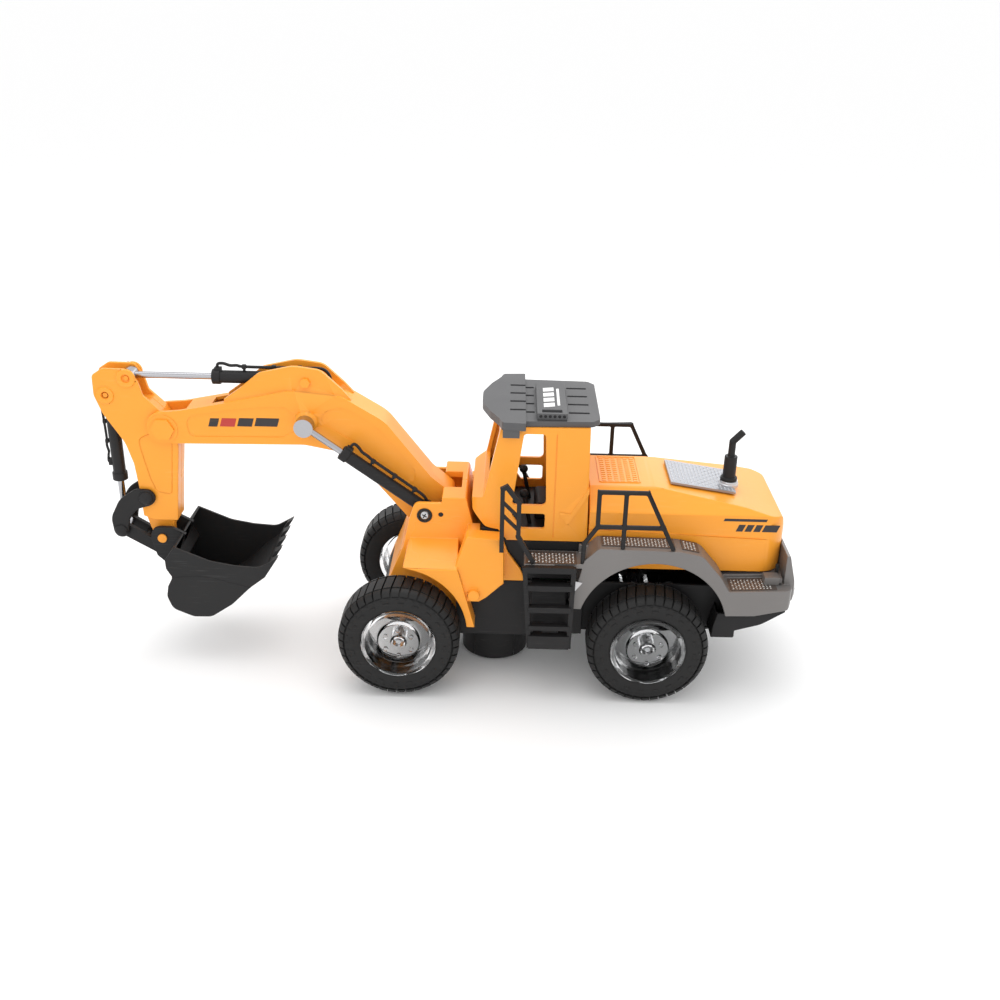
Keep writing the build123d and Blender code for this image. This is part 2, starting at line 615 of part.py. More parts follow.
# ---------- boom: two mirrored half shells ----------
boom_outline = [
    (-310.3, 145.4, 9.4), (-310.3, 165.2, 9.4), (-290, 167.0, 20), (-262, 172.6, 40),
    (-222, 181.4, 25), (-190, 178.6, 20),
    (-164.3, 163.2, 25), (-136.4, 127.4), (-122.2, 115.5, 6), (-121.4, 102.4, 7), (-132, 97.8, 4),
    (-150.6, 98.8, 2),
    (-186, 141.4, 14), (-214, 146.8, 20),
]
cavity_outline = [
    (-282.5, 147.4), (-282.5, 166.6), (-262, 170.6, 38), (-222, 179.4, 23), (-190.6, 176.8, 18),
    (-165.6, 161.8, 24),
    (-137.8, 126.2), (-124.1, 114.7, 4), (-123.3, 103.6, 5), (-132.4, 99.8, 2.4), (-149.8, 100.6),
    (-184.9, 143.0, 14),
    (-213.8, 148.7, 18),
]
lug_outline = [
    (-262, 168), (-262, 174.4), (-252.2, 181.5), (-240.0, 191.6, 8), (-219, 196.4, 16),
    (-202.6, 194.2, 10),
    (-190.2, 182.6), (-184.6, 176.2), (-186, 170), (-222, 176),
]
boom_panels = [
    [(-284.4, 150.4, 4), (-227.1, 151.4, 4), (-220.0, 155.5, 4), (-218.6, 165.7, 4),
    (-224.4, 171.2, 4), (-240.5, 170.7, 20),
     (-261.7, 168.0, 20), (-286.4, 163.6, 6)],
    [(-204.8, 162.7, 4), (-199.8, 169.5, 6), (-190.6, 172.0, 6), (-182.0, 168.4, 10),
    (-167.6, 158.0, 20),
     (-146.0, 131.6, 6), (-145.9, 124.6, 3), (-154.0, 122.8, 4), (-186.6, 151.4, 15)],
]
lug_inner = 5.3
lug_outer = 7.7
fork_gap = stick_half + 0.3


def boom_half_shell():
    half = side_plate(boom_outline, 0, boom_half)
    half -= side_plate(cavity_outline, -1, boom_half - shell)
    half += side_plate(lug_outline, lug_inner, lug_outer) - side_plate(cavity_outline, -1,
        boom_half - shell)
    half -= side_plate([(-270, 168.6), (-262, 169.4), (-235, 176), (-222, 177.6), (-203, 177.6),
        (-203, 200), (-270, 200)], -1, lug_inner)
    half -= side_plate([(-330, 130), (-285.5, 130), (-285.5, 190), (-330, 190)], -1, fork_gap)
    for panel in boom_panels:
        half -= side_plate(panel, boom_half - emboss, boom_half + 1)
    half += across(boom_ram_eye, 6.8, boom_half - 1, boom_half + 4.6)
    half += across(boom_ram_eye, 2.0, boom_half, 21.2)
    half += across(stick_pivot, 9.3, boom_half - 0.5, boom_half + 0.6)
    half -= across(stick_pivot, 1.9, 0, 20)
    half -= across(stick_ram_base, pin_radius, 0, 20)
    half -= across(boom_pivot, pin_radius + running_gap, 0, 20)
    return half


boom_side = boom_half_shell()
nodes["boom_left"] = other_side(boom_side)
nodes["boom_right"] = boom_side
boom_pins = across(stick_pivot, 1.9, -boom_half - 0.6, boom_half + 0.6)
ram_pin = across(stick_ram_base, pin_radius, -lug_outer, lug_outer)
for side in (1, -1):
    head = hexagon_across(stick_pivot, 12.8, boom_half + 0.6, boom_half + 2.0)
    ram_head = hexagon_across(stick_ram_base, 5.4, lug_outer, lug_outer + 1.8)
    boom_pins += head if side > 0 else other_side(head)
    ram_pin += ram_head if side > 0 else other_side(ram_head)
nodes["boom_pins"] = Compound(children=[boom_pins, ram_pin])


# ---------- rams ----------
def ram_barrel(length, eye_half, eye_radius=4.4):
    barrel = along(3.0, length, ram_barrel_radius) + along(length - ram_collar_length, length,
        ram_collar_radius)
    barrel += local_eye(0, eye_radius, eye_half)
    barrel -= along(8.0, length + 1, ram_bore_radius)
    barrel -= local_eye(0, pin_radius + running_gap, 10)
    return barrel


def ram_rod(length, eye_radius, eye_half, bore):
    rod = along(0.0, length, ram_rod_radius) + local_eye(0, eye_radius, eye_half)
    return rod - local_eye(0, bore, eye_half + 1)


boom_ram_length = 63.0
barrel_frame = aimed(boom_ram_base, boom_ram_eye, boom_ram_y)
rod_frame = aimed(boom_ram_eye, boom_ram_base, boom_ram_y)
boom_barrel = barrel_frame * ram_barrel(boom_ram_length, 4.6)
boom_rod = along(0.0, 52.0, ram_rod_radius) + local_eye(0, 5.8, 3.6)
boom_rod -= Pos(0, -0.9, 0) * local_eye(0, 2.05, 3.6)
boom_rod = rod_frame * boom_rod
nodes["boom_barrels"] = Compound(children=[boom_barrel, other_side(boom_barrel)])
nodes["boom_rods"] = Compound(children=[boom_rod, other_side(boom_rod)])
nodes["stick_barrel"] = aimed(stick_ram_base, stick_ram_eye, 0) * ram_barrel(57.6, 4.6)
nodes["stick_rod"] = aimed(stick_ram_eye, stick_ram_base, 0) * ram_rod(79.0, 4.2, 4.4,
    pin_radius + running_gap)
nodes["bucket_barrel"] = aimed(bucket_ram_base, rocker_end, 0) * ram_barrel(59.0, 4.6)
nodes["bucket_rod"] = aimed(rocker_end, bucket_ram_base, 0) * ram_rod(58.0, 3.9, 3.8,
    pin_radius + running_gap)

# ---------- stick: two mirrored half shells ----------
stick_outline = [
    (-341.2, 187.6, 3), (-334.5, 192.0, 4), (-318.4, 191.8, 4), (-313.6, 183.5), (-311.6, 175.2, 3),
    (-301.6, 165.2, 4),
    (-293.2, 150), (-293.0, 142), (-295.8, 117), (-298.4, 91.2, 1), (-313.2, 91.2, 1), (-320.0, 94.0),
    (-320.6, 112),
    (-322.2, 130, 10), (-326.0, 144, 20), (-337.6, 163.2, 15), (-341.6, 175, 8),
]
stick_cavity = [
    (-322.6, 169.0, 2), (-303.8, 164.4, 3), (-295.2, 149.4), (-294.9, 142), (-297.7, 117),
    (-300.2, 93.2), (-312.8, 93.2),
    (-318.0, 95.6), (-318.7, 112), (-320.3, 130.4, 8), (-322.6, 144, 10),
]
stick_slot = [(-350, 136), (-325.4, 143.4), (-325.4, 171.4), (-290, 171.4), (-290, 200), (-350, 200)]
tongue_outline = [
    (-320.0, 94.4), (-317.4, 84), (-313.9, 74.8, 5), (-303.4, 74.8, 5), (-303.2, 84), (-301.2, 91.6),
    (-304, 96), (-318, 96),
]
tongue_half = 3.9
stick_panel = [
    (-296.4, 148.6, 2), (-309.6, 150.6, 5), (-317.4, 147.0, 4), (-316.6, 139.6, 10),
    (-312.9, 120.6, 6), (-309.8, 111.4, 4),
    (-300.4, 109.6, 2),
]


def stick_half_shell():
    half = side_plate(stick_outline, 0, stick_half)
    half += across(stick_ram_eye, 5.7, stick_half - 1, stick_half + 1.1)
    half += across(bucket_ram_base, 5.3, stick_half - 1, stick_half + 1.1)
    half -= side_plate(stick_cavity, -1, stick_half - shell)
    half -= side_plate(stick_slot, -1, 5.1)
    half -= side_plate(stick_panel, stick_half - emboss, stick_half + 1)
    half += side_plate(tongue_outline, 0, tongue_half)
    half -= across(stick_pivot, 1.9 + running_gap, -1, 20)
    for place in (stick_ram_eye, bucket_ram_base, rocker_pivot, bucket_pivot):
        half -= across(place, pin_radius, -1, 20)
    half -= across(stick_ram_eye, 2.6, stick_half - 0.4, 20)
    half -= across(bucket_ram_base, 2.3, stick_half - 0.4, 20)
    return half


stick_side = stick_half_shell()
nodes["stick_left"] = other_side(stick_side)
nodes["stick_right"] = stick_side
link_outer = 10.7
stick_pins = [
    across(stick_ram_eye, pin_radius, -stick_half, stick_half),
    across(bucket_ram_base, pin_radius, -stick_half, stick_half),
]
for place, reach, head_radius in ((rocker_pivot, link_outer, 3.6), (bucket_pivot, link_outer, 2.9)):
    pin = across(place, pin_radius, -reach - 0.2, reach + 0.2)
    cap = across(place, head_radius, reach + 0.2, reach + 1.1)
    stick_pins.append(pin + cap + other_side(cap))
nodes["stick_pins"] = Compound(children=stick_pins)

# ---------- bucket linkage ----------
link_inner = 7.8
rocker_outline = [
    (-313.0, 113.2, 3), (-322.6, 113.6, 6), (-333.4, 106.4, 14), (-340.2, 93.4, 12), (-339.3, 82.4, 3),
    (-333, 80.4, 3),
    (-329.7, 86.4), (-328.0, 93.6, 6), (-322.6, 99.8, 7), (-314.0, 102.4, 3), (-311.0, 107.6, 3),
]
rocker_plate = side_plate(rocker_outline, link_inner, link_outer)
rocker_plate += across(rocker_end, 4.8, link_inner, link_outer) + across(rocker_pivot, 5.5, link_inner,
    link_outer)
rocker_plate -= across(rocker_pivot, pin_radius + running_gap, 0, 20)
rocker_plate += across(rocker_end, pin_radius, 0, link_outer)
nodes["rocker_links"] = rocker_plate + other_side(rocker_plate)

bar_plate = side_plate(
    [
        (rocker_end[0] - 1.8, rocker_end[1] - 3.6), (rocker_end[0] + 1.8, rocker_end[1] + 3.8),
        (bucket_link_pin[0] + 1.6, bucket_link_pin[1] + 3.6),
        (bucket_link_pin[0] - 1.6, bucket_link_pin[1] - 3.4),
    ],
    4.4, 7.3,
)
bar_plate += across(rocker_end, 4.2, 4.4, 7.3) + across(bucket_link_pin, 4.0, 4.4, 7.3)
bar_plate -= across(rocker_end, pin_radius + running_gap, 0, 20)
bar_plate -= across(bucket_link_pin, pin_radius + link_play, 0, 20)
bar_middle = ((rocker_end[0] + bucket_link_pin[0]) / 2, (rocker_end[1] + bucket_link_pin[1]) / 2)
link_bars = bar_plate + other_side(bar_plate) + across(bar_middle, 2.0, -7.3, 7.3)
nodes["link_bars"] = link_bars

# ---------- bucket ----------
bucket_outline = [
    (-295.9, 83.8, 0.8), (-302.4, 74.4, 2), (-302.2, 68.4), (-298.8, 62.2, 2), (-302.0, 56, 3),
    (-303.4, 48.6, 6),
    (-300.4, 39.8, 7), (-287.5, 34.2, 8), (-276.0, 34.4, 8), (-262.0, 44.0, 12), (-250.6, 55.6),
    (-240.2, 63.8, 3),
    (-231.3, 77.8), (-243.7, 70.6, 10), (-258.8, 71.6, 20), (-274, 74.4, 20),
]
bucket_inside = [
    (-293.4, 85.0), (-300.4, 74.2), (-300.3, 68.8), (-296.6, 62.2, 1), (-300.1, 56.4, 2),
    (-301.5, 48.8, 4.5),
    (-298.8, 41.3, 5), (-287.1, 36.1, 6), (-276.6, 36.3, 6), (-263.2, 45.6, 10), (-252.0, 57.0),
    (-241.9, 64.9, 2),
    (-233.2, 79.0), (-233.2, 100), (-293.4, 100),
]
ear_outline = [
    (-316.0, 79), (-315.2, 87.6, 6), (-302.0, 87.4, 6), (-293.5, 82.8), (-299.5, 75.0),
    (-300.8, 62.6, 1), (-308.6, 62.6, 4),
    (-313.4, 67.4, 4),
]
bucket = side_plate(bucket_outline, -bucket_half, bucket_half)
bucket -= side_plate(bucket_inside, -bucket_half + wall, bucket_half - wall)
upper_cheek = [
    (-310, 100), (-310, 63), (-297.6, 62.3, 2), (-284.5, 63.9, 20), (-273.5, 62.9, 20),
    (-262.6, 59.8, 20), (-250.0, 56.4),
    (-225, 60), (-225, 100),
]
for side in (1, -1):
    skim = side_plate(upper_cheek, bucket_half - emboss, bucket_half + 1)
    bucket -= skim if side > 0 else other_side(skim)
tooth_width = 6.4
tooth_pitch = (2 * bucket_half - tooth_width) / 4
for i in range(4):
    gap_start = -bucket_half + tooth_width + i * tooth_pitch
    bucket -= block(-239, -228, gap_start, gap_start + tooth_pitch - tooth_width, 71.4, 90)
for side in (1, -1):
    ear = side_plate(ear_outline, link_inner, link_outer)
    ear += across(bucket_pivot, 7.3, link_inner, link_outer)
    bucket += ear if side > 0 else other_side(ear)
bucket -= across(bucket_pivot, pin_radius + running_gap, -20, 20)
bucket += across(bucket_link_pin, pin_radius, -link_outer + 0.5, link_outer - 0.5)
nodes["bucket"] = bucket

# ---------- place the truck over its footprint and write every node ----------
whole = Compound(children=[Compound(children=list(part.solids())) for part in nodes.values()]).bounding_box()
shift = (-(whole.min.X + whole.max.X) / 2, -(whole.min.Y + whole.max.Y) / 2, -whole.min.Z)
for name, part in nodes.items():
    solids = [solid.moved(Location(shift)) for solid in part.solids()]
    export_step(Compound(children=solids) if len(solids) > 1 else solids[0], f"parts/{name}.step")
print("nodes", len(nodes), "shift", shift, "size", whole.size)
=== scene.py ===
import math

import bmesh
from mathutils.bvhtree import BVHTree
import bpy
from mathutils import Matrix, Vector


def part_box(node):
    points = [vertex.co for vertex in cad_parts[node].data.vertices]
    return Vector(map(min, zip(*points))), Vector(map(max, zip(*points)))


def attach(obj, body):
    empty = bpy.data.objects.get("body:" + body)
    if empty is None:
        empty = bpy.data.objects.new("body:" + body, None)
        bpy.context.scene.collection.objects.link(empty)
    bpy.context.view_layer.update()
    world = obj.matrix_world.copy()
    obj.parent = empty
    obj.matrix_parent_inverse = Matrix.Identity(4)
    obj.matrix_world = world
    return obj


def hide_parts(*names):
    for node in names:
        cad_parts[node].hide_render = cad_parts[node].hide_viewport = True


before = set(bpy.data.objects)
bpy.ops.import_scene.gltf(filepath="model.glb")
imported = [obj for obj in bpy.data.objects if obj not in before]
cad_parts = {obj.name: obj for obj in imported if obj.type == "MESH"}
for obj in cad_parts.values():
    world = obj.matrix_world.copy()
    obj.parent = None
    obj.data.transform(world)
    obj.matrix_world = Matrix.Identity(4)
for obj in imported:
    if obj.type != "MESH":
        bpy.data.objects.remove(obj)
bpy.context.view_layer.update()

scene = bpy.context.scene
scene.view_settings.view_transform = "Standard"  # keeps the toy's strong yellow


# places: millimetres from the ground under the rear axle, like the CAD
def middle(node):
    low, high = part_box(node)
    return (low + high) / 2


axleX = middle("rear_axle").x


def at(x, y, z):
    return Vector((axleX + x / 1000, y / 1000, z / 1000))


# camera, made first
cameraSetup = {"place": (-90.0, -650.0, 415.0), "yaw": -0.26, "pitch": 25.31, "roll": 1.28, "lens": 40.54,
    "sensor": 36.0}


def makeCamera(setup):
    yaw, pitch, roll = (math.radians(setup[k]) for k in ("yaw", "pitch", "roll"))
    forward = Vector((math.sin(yaw) * math.cos(pitch), math.cos(yaw) * math.cos(pitch), -math.sin(pitch)))
    side = Vector((math.cos(yaw), -math.sin(yaw), 0))
    up = side.cross(forward)
    across = side * math.cos(roll) + up * math.sin(roll)
    over = up * math.cos(roll) - side * math.sin(roll)
    data = bpy.data.cameras.new("camera")
    data.lens = setup["lens"]
    data.sensor_width = setup["sensor"]
    camera = bpy.data.objects.new("camera", data)
    scene.collection.objects.link(camera)
    turned = Matrix((across, over, -forward)).transposed().to_4x4()
    turned.translation = at(*setup["place"])
    camera.matrix_world = turned
    scene.camera = camera


makeCamera(cameraSetup)

# floor and soft studio light
studio = {
    "worldStrength": 1.07,
    "overhead": {"place": (-160, 60, 900), "aim": (-90, 0, 60), "size": 0.7, "power": 2.6},
    "frontFill": {"place": (-500, -900, 500), "aim": (-110, 0, 80), "size": 0.8, "power": 1.0},
    "backRim": {"place": (300, 700, 600), "aim": (-90, 0, 80), "size": 0.6, "power": 1.6},
}


def makeStudio(values):
    world = bpy.data.worlds.new("studio")
    scene.world = world
    world.use_nodes = True
    sky = world.node_tree.nodes["Background"]
    sky.inputs["Color"].default_value = (1, 1, 1, 1)
    sky.inputs["Strength"].default_value = values["worldStrength"]
    for name in ("overhead", "frontFill", "backRim"):
        lamp = values[name]
        data = bpy.data.lights.new(name, "AREA")
        data.shape = "SQUARE"
        data.size = lamp["size"]
        data.energy = lamp["power"]
        light = bpy.data.objects.new(name, data)
        scene.collection.objects.link(light)
        place = at(*lamp["place"])
        light.matrix_world = (at(*lamp["aim"]) - place).to_track_quat("-Z", "Y").to_matrix().to_4x4()
        light.location = place
    bpy.ops.mesh.primitive_plane_add(size=60, location=(0, 0, 0))
    floor = bpy.context.active_object
    floor.name = "floor"
    paper = bpy.data.materials.new("paperFloor")
    paper.use_nodes = True
    shader = paper.node_tree.nodes["Principled BSDF"]
    shader.inputs["Base Color"].default_value = (0.93, 0.93, 0.93, 1)
    shader.inputs["Roughness"].default_value = 0.9
    shader.inputs["Specular IOR Level"].default_value = 0.1
    floor.data.materials.append(paper)


makeStudio(studio)
print("stage: camera and light")


# shader groups shared by several materials
def newGroup(name, inputs, outputs):
    group = bpy.data.node_groups.new(name, "ShaderNodeTree")
    for label, kind, value in inputs:
        socket = group.interface.new_socket(name=label, in_out="INPUT", socket_type=kind)
        socket.default_value = value
    for label, kind in outputs:
        group.interface.new_socket(name=label, in_out="OUTPUT", socket_type=kind)
    start = group.nodes.new("NodeGroupInput")
    end = group.nodes.new("NodeGroupOutput")
    return group, start, end


def node(tree, kind, links=None, **settings):
    made = tree.nodes.new(kind)
    for key, value in settings.items():
        setattr(made, key, value)
    for socket, source in (links or {}).items():
        target = made.inputs[socket]
        if isinstance(source, bpy.types.NodeSocket):
            tree.links.new(source, target)
        else:
            target.default_value = source
    return made


# fine moulded grain with soft sink marks: a height for bump and a mask for roughness
grain, grainIn, grainOut = newGroup(
    "mouldedGrain",
    [("Size", "NodeSocketFloat", 900.0), ("Waves", "NodeSocketFloat", 14.0)],
    [("Height", "NodeSocketFloat"), ("Mask", "NodeSocketFloat")],
)
spot = node(grain, "ShaderNodeTexCoord").outputs["Object"]
fine = node(grain, "ShaderNodeTexNoise", {"Vector": spot, "Scale": grainIn.outputs["Size"], "Detail": 2.0})
broad = node(grain, "ShaderNodeTexNoise", {"Vector": spot, "Scale": grainIn.outputs["Waves"], "Detail": 3.0})
broadPart = node(grain, "ShaderNodeMath", {0: broad.outputs["Fac"], 1: 3.0}, operation="MULTIPLY")
both = node(grain, "ShaderNodeMath", {0: fine.outputs["Fac"], 1: broadPart.outputs[0]}, operation="ADD")
grain.links.new(both.outputs[0], grainOut.inputs["Height"])
grain.links.new(broad.outputs["Fac"], grainOut.inputs["Mask"])

# thin handling scratches and dust: a mask from 0 to 1
scuff, scuffIn, scuffOut = newGroup(
    "handlingScuffs",
    [("Scale", "NodeSocketFloat", 60.0), ("Amount", "NodeSocketFloat", 0.3)],
    [("Mask", "NodeSocketFloat")],
)
spot = node(scuff, "ShaderNodeTexCoord").outputs["Object"]
stretch = node(scuff, "ShaderNodeMapping",
    {"Vector": spot, "Rotation": (0.3, 0.5, 0.4), "Scale": (1.0, 6.0, 18.0)})
lines = node(scuff, "ShaderNodeTexNoise",
    {"Vector": stretch.outputs[0], "Scale": scuffIn.outputs["Scale"], "Detail": 4.0})
patches = node(scuff, "ShaderNodeTexNoise", {"Vector": spot, "Scale": 30.0, "Detail": 3.0})
lineMask = node(scuff, "ShaderNodeMapRange",
    {"Value": lines.outputs["Fac"], "From Min": 0.58, "From Max": 0.72})
patchMask = node(scuff, "ShaderNodeMapRange",
    {"Value": patches.outputs["Fac"], "From Min": 0.45, "From Max": 0.65})
worn = node(scuff, "ShaderNodeMath", {0: lineMask.outputs[0], 1: patchMask.outputs[0]}, operation="MULTIPLY")
scaled = node(scuff, "ShaderNodeMath", {0: worn.outputs[0], 1: scuffIn.outputs["Amount"]}, operation="MULTIPLY")
scuff.links.new(scaled.outputs[0], scuffOut.inputs["Mask"])

# colour that drifts a little between two tones
drift, driftIn, driftOut = newGroup(
    "pigmentDrift",
    [("Tone", "NodeSocketColor", (1, 1, 1, 1)), ("Other Tone", "NodeSocketColor", (1, 1, 1, 1)),
     ("Scale", "NodeSocketFloat", 18.0)],
    [("Color", "NodeSocketColor")],
)
spot = node(drift, "ShaderNodeTexCoord").outputs["Object"]
clouds = node(drift, "ShaderNodeTexNoise", {"Vector": spot, "Scale": driftIn.outputs["Scale"], "Detail": 4.0})
mixed = node(drift, "ShaderNodeMix", {0: clouds.outputs["Fac"], 6: driftIn.outputs["Tone"],
             7: driftIn.outputs["Other Tone"]}, data_type="RGBA")
drift.links.new(mixed.outputs[2], driftOut.inputs["Color"])

finishes = {
    "yellowShell": {"gleam": 0.38, "tone": (0.90, 0.335, 0.028), "other": (0.95, 0.37, 0.036),
    "rough": (0.26, 0.38), "bump": 0.10,
                    "grain": 1500.0, "scuffs": 0.12, "scuffTone": (1.0, 0.62, 0.25)},
    "blackPlastic": {"gleam": 0.22, "tone": (0.012, 0.012, 0.013), "other": (0.022, 0.021, 0.021),
    "rough": (0.38, 0.55), "bump": 0.35,
                     "grain": 1300.0, "scuffs": 0.25, "scuffTone": (0.09, 0.088, 0.085)},
    "bucketPlastic": {"gleam": 0.22, "tone": (0.014, 0.014, 0.015), "other": (0.024, 0.024, 0.024),
    "rough": (0.42, 0.6), "bump": 0.4,
                      "grain": 1100.0, "scuffs": 0.35, "scuffTone": (0.10, 0.10, 0.10)},
    "roofPlastic": {"tone": (0.070, 0.070, 0.073), "other": (0.085, 0.085, 0.088), "rough": (0.40, 0.55),
    "bump": 0.4,
                    "grain": 1200.0, "scuffs": 0.2, "scuffTone": (0.16, 0.16, 0.16)},
    "greyBody": {"tone": (0.165, 0.155, 0.150), "other": (0.20, 0.19, 0.183), "rough": (0.34, 0.48),
    "bump": 0.25,
                 "grain": 1700.0, "scuffs": 0.2, "scuffTone": (0.30, 0.29, 0.28), "metal": 0.35},
    "deckPlastic": {"tone": (0.075, 0.060, 0.052), "other": (0.10, 0.080, 0.070), "rough": (0.35, 0.5),
    "bump": 0.3,
                    "grain": 1500.0, "scuffs": 0.2, "scuffTone": (0.20, 0.19, 0.18), "metal": 0.2},
    "lozengeMetal": {"tone": (0.62, 0.60, 0.57), "other": (0.78, 0.77, 0.75), "rough": (0.25, 0.4), "bump": 0.1,
                     "grain": 1500.0, "scuffs": 0.3, "scuffTone": (0.45, 0.42, 0.4), "metal": 0.7},
    "plateGround": {"tone": (0.30, 0.31, 0.34), "other": (0.36, 0.37, 0.40), "rough": (0.3, 0.45), "bump": 0.15,
                    "grain": 1400.0, "scuffs": 0.3, "scuffTone": (0.5, 0.5, 0.52), "metal": 0.6},
    "silverPlate": {"tone": (0.52, 0.52, 0.54), "other": (0.66, 0.66, 0.68), "rough": (0.26, 0.42),
    "bump": 0.15,
                    "grain": 1400.0, "scuffs": 0.3, "scuffTone": (0.85, 0.85, 0.85), "metal": 0.8},
    "tyreRubber": {"gleam": 0.22, "tone": (0.012, 0.012, 0.0125), "other": (0.020, 0.0195, 0.019),
    "rough": (0.42, 0.6), "bump": 0.5,
                   "grain": 1000.0, "scuffs": 0.35, "scuffTone": (0.07, 0.068, 0.065)},
    "platedRod": {"tone": (0.36, 0.36, 0.38), "other": (0.46, 0.46, 0.48), "rough": (0.16, 0.28), "bump": 0.05,
                  "grain": 900.0, "scuffs": 0.25, "scuffTone": (0.55, 0.55, 0.57), "metal": 1.0},
    "steelWire": {"tone": (0.45, 0.45, 0.46), "other": (0.58, 0.58, 0.59), "rough": (0.25, 0.4), "bump": 0.2,
                  "grain": 1200.0, "scuffs": 0.4, "scuffTone": (0.3, 0.3, 0.3), "metal": 1.0},
    "cellCan": {"tone": (0.50, 0.50, 0.52), "other": (0.6, 0.6, 0.62), "rough": (0.3, 0.45), "bump": 0.1,
                "grain": 900.0, "scuffs": 0.3, "scuffTone": (0.3, 0.3, 0.3), "metal": 1.0},
    "springBrass": {"tone": (0.60, 0.42, 0.15), "other": (0.7, 0.5, 0.2), "rough": (0.3, 0.4), "bump": 0.1,
                    "grain": 900.0, "scuffs": 0.3, "scuffTone": (0.35, 0.22, 0.1), "metal": 1.0},
    "boardGreen": {"tone": (0.01, 0.09, 0.03), "other": (0.02, 0.12, 0.04), "rough": (0.3, 0.4), "bump": 0.2,
                   "grain": 700.0, "scuffs": 0.2, "scuffTone": (0.1, 0.2, 0.1)},
    "badgeInk": {"tone": (0.015, 0.012, 0.012), "other": (0.03, 0.025, 0.025), "rough": (0.35, 0.5),
    "bump": 0.1,
                 "grain": 900.0, "scuffs": 0.3, "scuffTone": (0.2, 0.1, 0.05)},
    "badgeRed": {"tone": (0.45, 0.03, 0.02), "other": (0.5, 0.04, 0.03), "rough": (0.35, 0.5), "bump": 0.1,
                 "grain": 900.0, "scuffs": 0.3, "scuffTone": (0.6, 0.2, 0.1)},
    "badgeWhite": {"tone": (0.75, 0.75, 0.74), "other": (0.8, 0.8, 0.79), "rough": (0.35, 0.5), "bump": 0.1,
                   "grain": 900.0, "scuffs": 0.3, "scuffTone": (0.4, 0.4, 0.4)},
}


def makeFinish(name, values):
    material = bpy.data.materials.new(name)
    material.use_nodes = True
    tree = material.node_tree
    shader = tree.nodes["Principled BSDF"]
    colour = node(tree, "ShaderNodeGroup", node_tree=drift)
    colour.inputs["Tone"].default_value = (*values["tone"], 1)
    colour.inputs["Other Tone"].default_value = (*values["other"], 1)
    marks = node(tree, "ShaderNodeGroup", node_tree=scuff)
    marks.inputs["Amount"].default_value = values["scuffs"]
    mould = node(tree, "ShaderNodeGroup", node_tree=grain)
    mould.inputs["Size"].default_value = values["grain"]
    painted = node(tree, "ShaderNodeMix", {0: marks.outputs["Mask"], 6: colour.outputs["Color"],
                   7: (*values["scuffTone"], 1)}, data_type="RGBA")
    tree.links.new(painted.outputs[2], shader.inputs["Base Color"])
    shader.inputs["Specular IOR Level"].default_value = values.get("gleam", 0.5)
    low, high = values["rough"]
    polish = node(tree, "ShaderNodeMapRange", {"Value": mould.outputs["Mask"], "From Min": 0.3, "From Max": 0.7,
                  "To Min": low, "To Max": high})
    dulled = node(tree, "ShaderNodeMath", {0: marks.outputs["Mask"], 1: 0.35, 2: polish.outputs[0]},
                  operation="MULTIPLY_ADD")
    tree.links.new(dulled.outputs[0], shader.inputs["Roughness"])
    bump = node(tree, "ShaderNodeBump", {"Height": mould.outputs["Height"], "Strength": values["bump"],
                "Distance": 0.00006})
    tree.links.new(bump.outputs["Normal"], shader.inputs["Normal"])
    shader.inputs["Metallic"].default_value = values.get("metal", 0.0)
    return material


finish = {name: makeFinish(name, values) for name, values in finishes.items()}

clearPlastic = {"tone": (0.93, 0.94, 0.95), "rough": (0.03, 0.10), "ior": 1.49, "waves": 90.0}


def makeClear(values):
    material = bpy.data.materials.new("clearPlastic")
    material.use_nodes = True
    tree = material.node_tree
    shader = tree.nodes["Principled BSDF"]
    shader.inputs["Base Color"].default_value = (*values["tone"], 1)
    shader.inputs["Transmission Weight"].default_value = 1.0
    shader.inputs["IOR"].default_value = values["ior"]
    mould = node(tree, "ShaderNodeGroup", node_tree=grain)
    mould.inputs["Size"].default_value = values["waves"]
    polish = node(tree, "ShaderNodeMapRange", {"Value": mould.outputs["Mask"], "To Min": values["rough"][0],
                  "To Max": values["rough"][1]})
    tree.links.new(polish.outputs[0], shader.inputs["Roughness"])
    bump = node(tree, "ShaderNodeBump",
        {"Height": mould.outputs["Height"], "Strength": 0.12, "Distance": 0.0004})
    tree.links.new(bump.outputs["Normal"], shader.inputs["Normal"])
    return material


finish["clearPlastic"] = makeClear(clearPlastic)
print("stage: materials")


# making pieces
def addPiece(name, mesh, look, body):
    piece = bpy.data.objects.new(name, mesh)
    scene.collection.objects.link(piece)
    if look is not None:
        piece.data.materials.clear()
        piece.data.materials.append(finish[look])
    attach(piece, body)
    return piece


def applied(source):
    # the evaluated mesh of an object, as plain data; the object itself is removed
    graph = bpy.context.evaluated_depsgraph_get()
    mesh = bpy.data.meshes.new_from_object(source.evaluated_get(graph), depsgraph=graph)
    bpy.data.objects.remove(source)
    return mesh


def smoothEdges(mesh, degrees):
    mesh.shade_smooth()
    mesh.set_sharp_from_angle(angle=math.radians(degrees))


strayShare = 0.6
plainAngle = 18.0


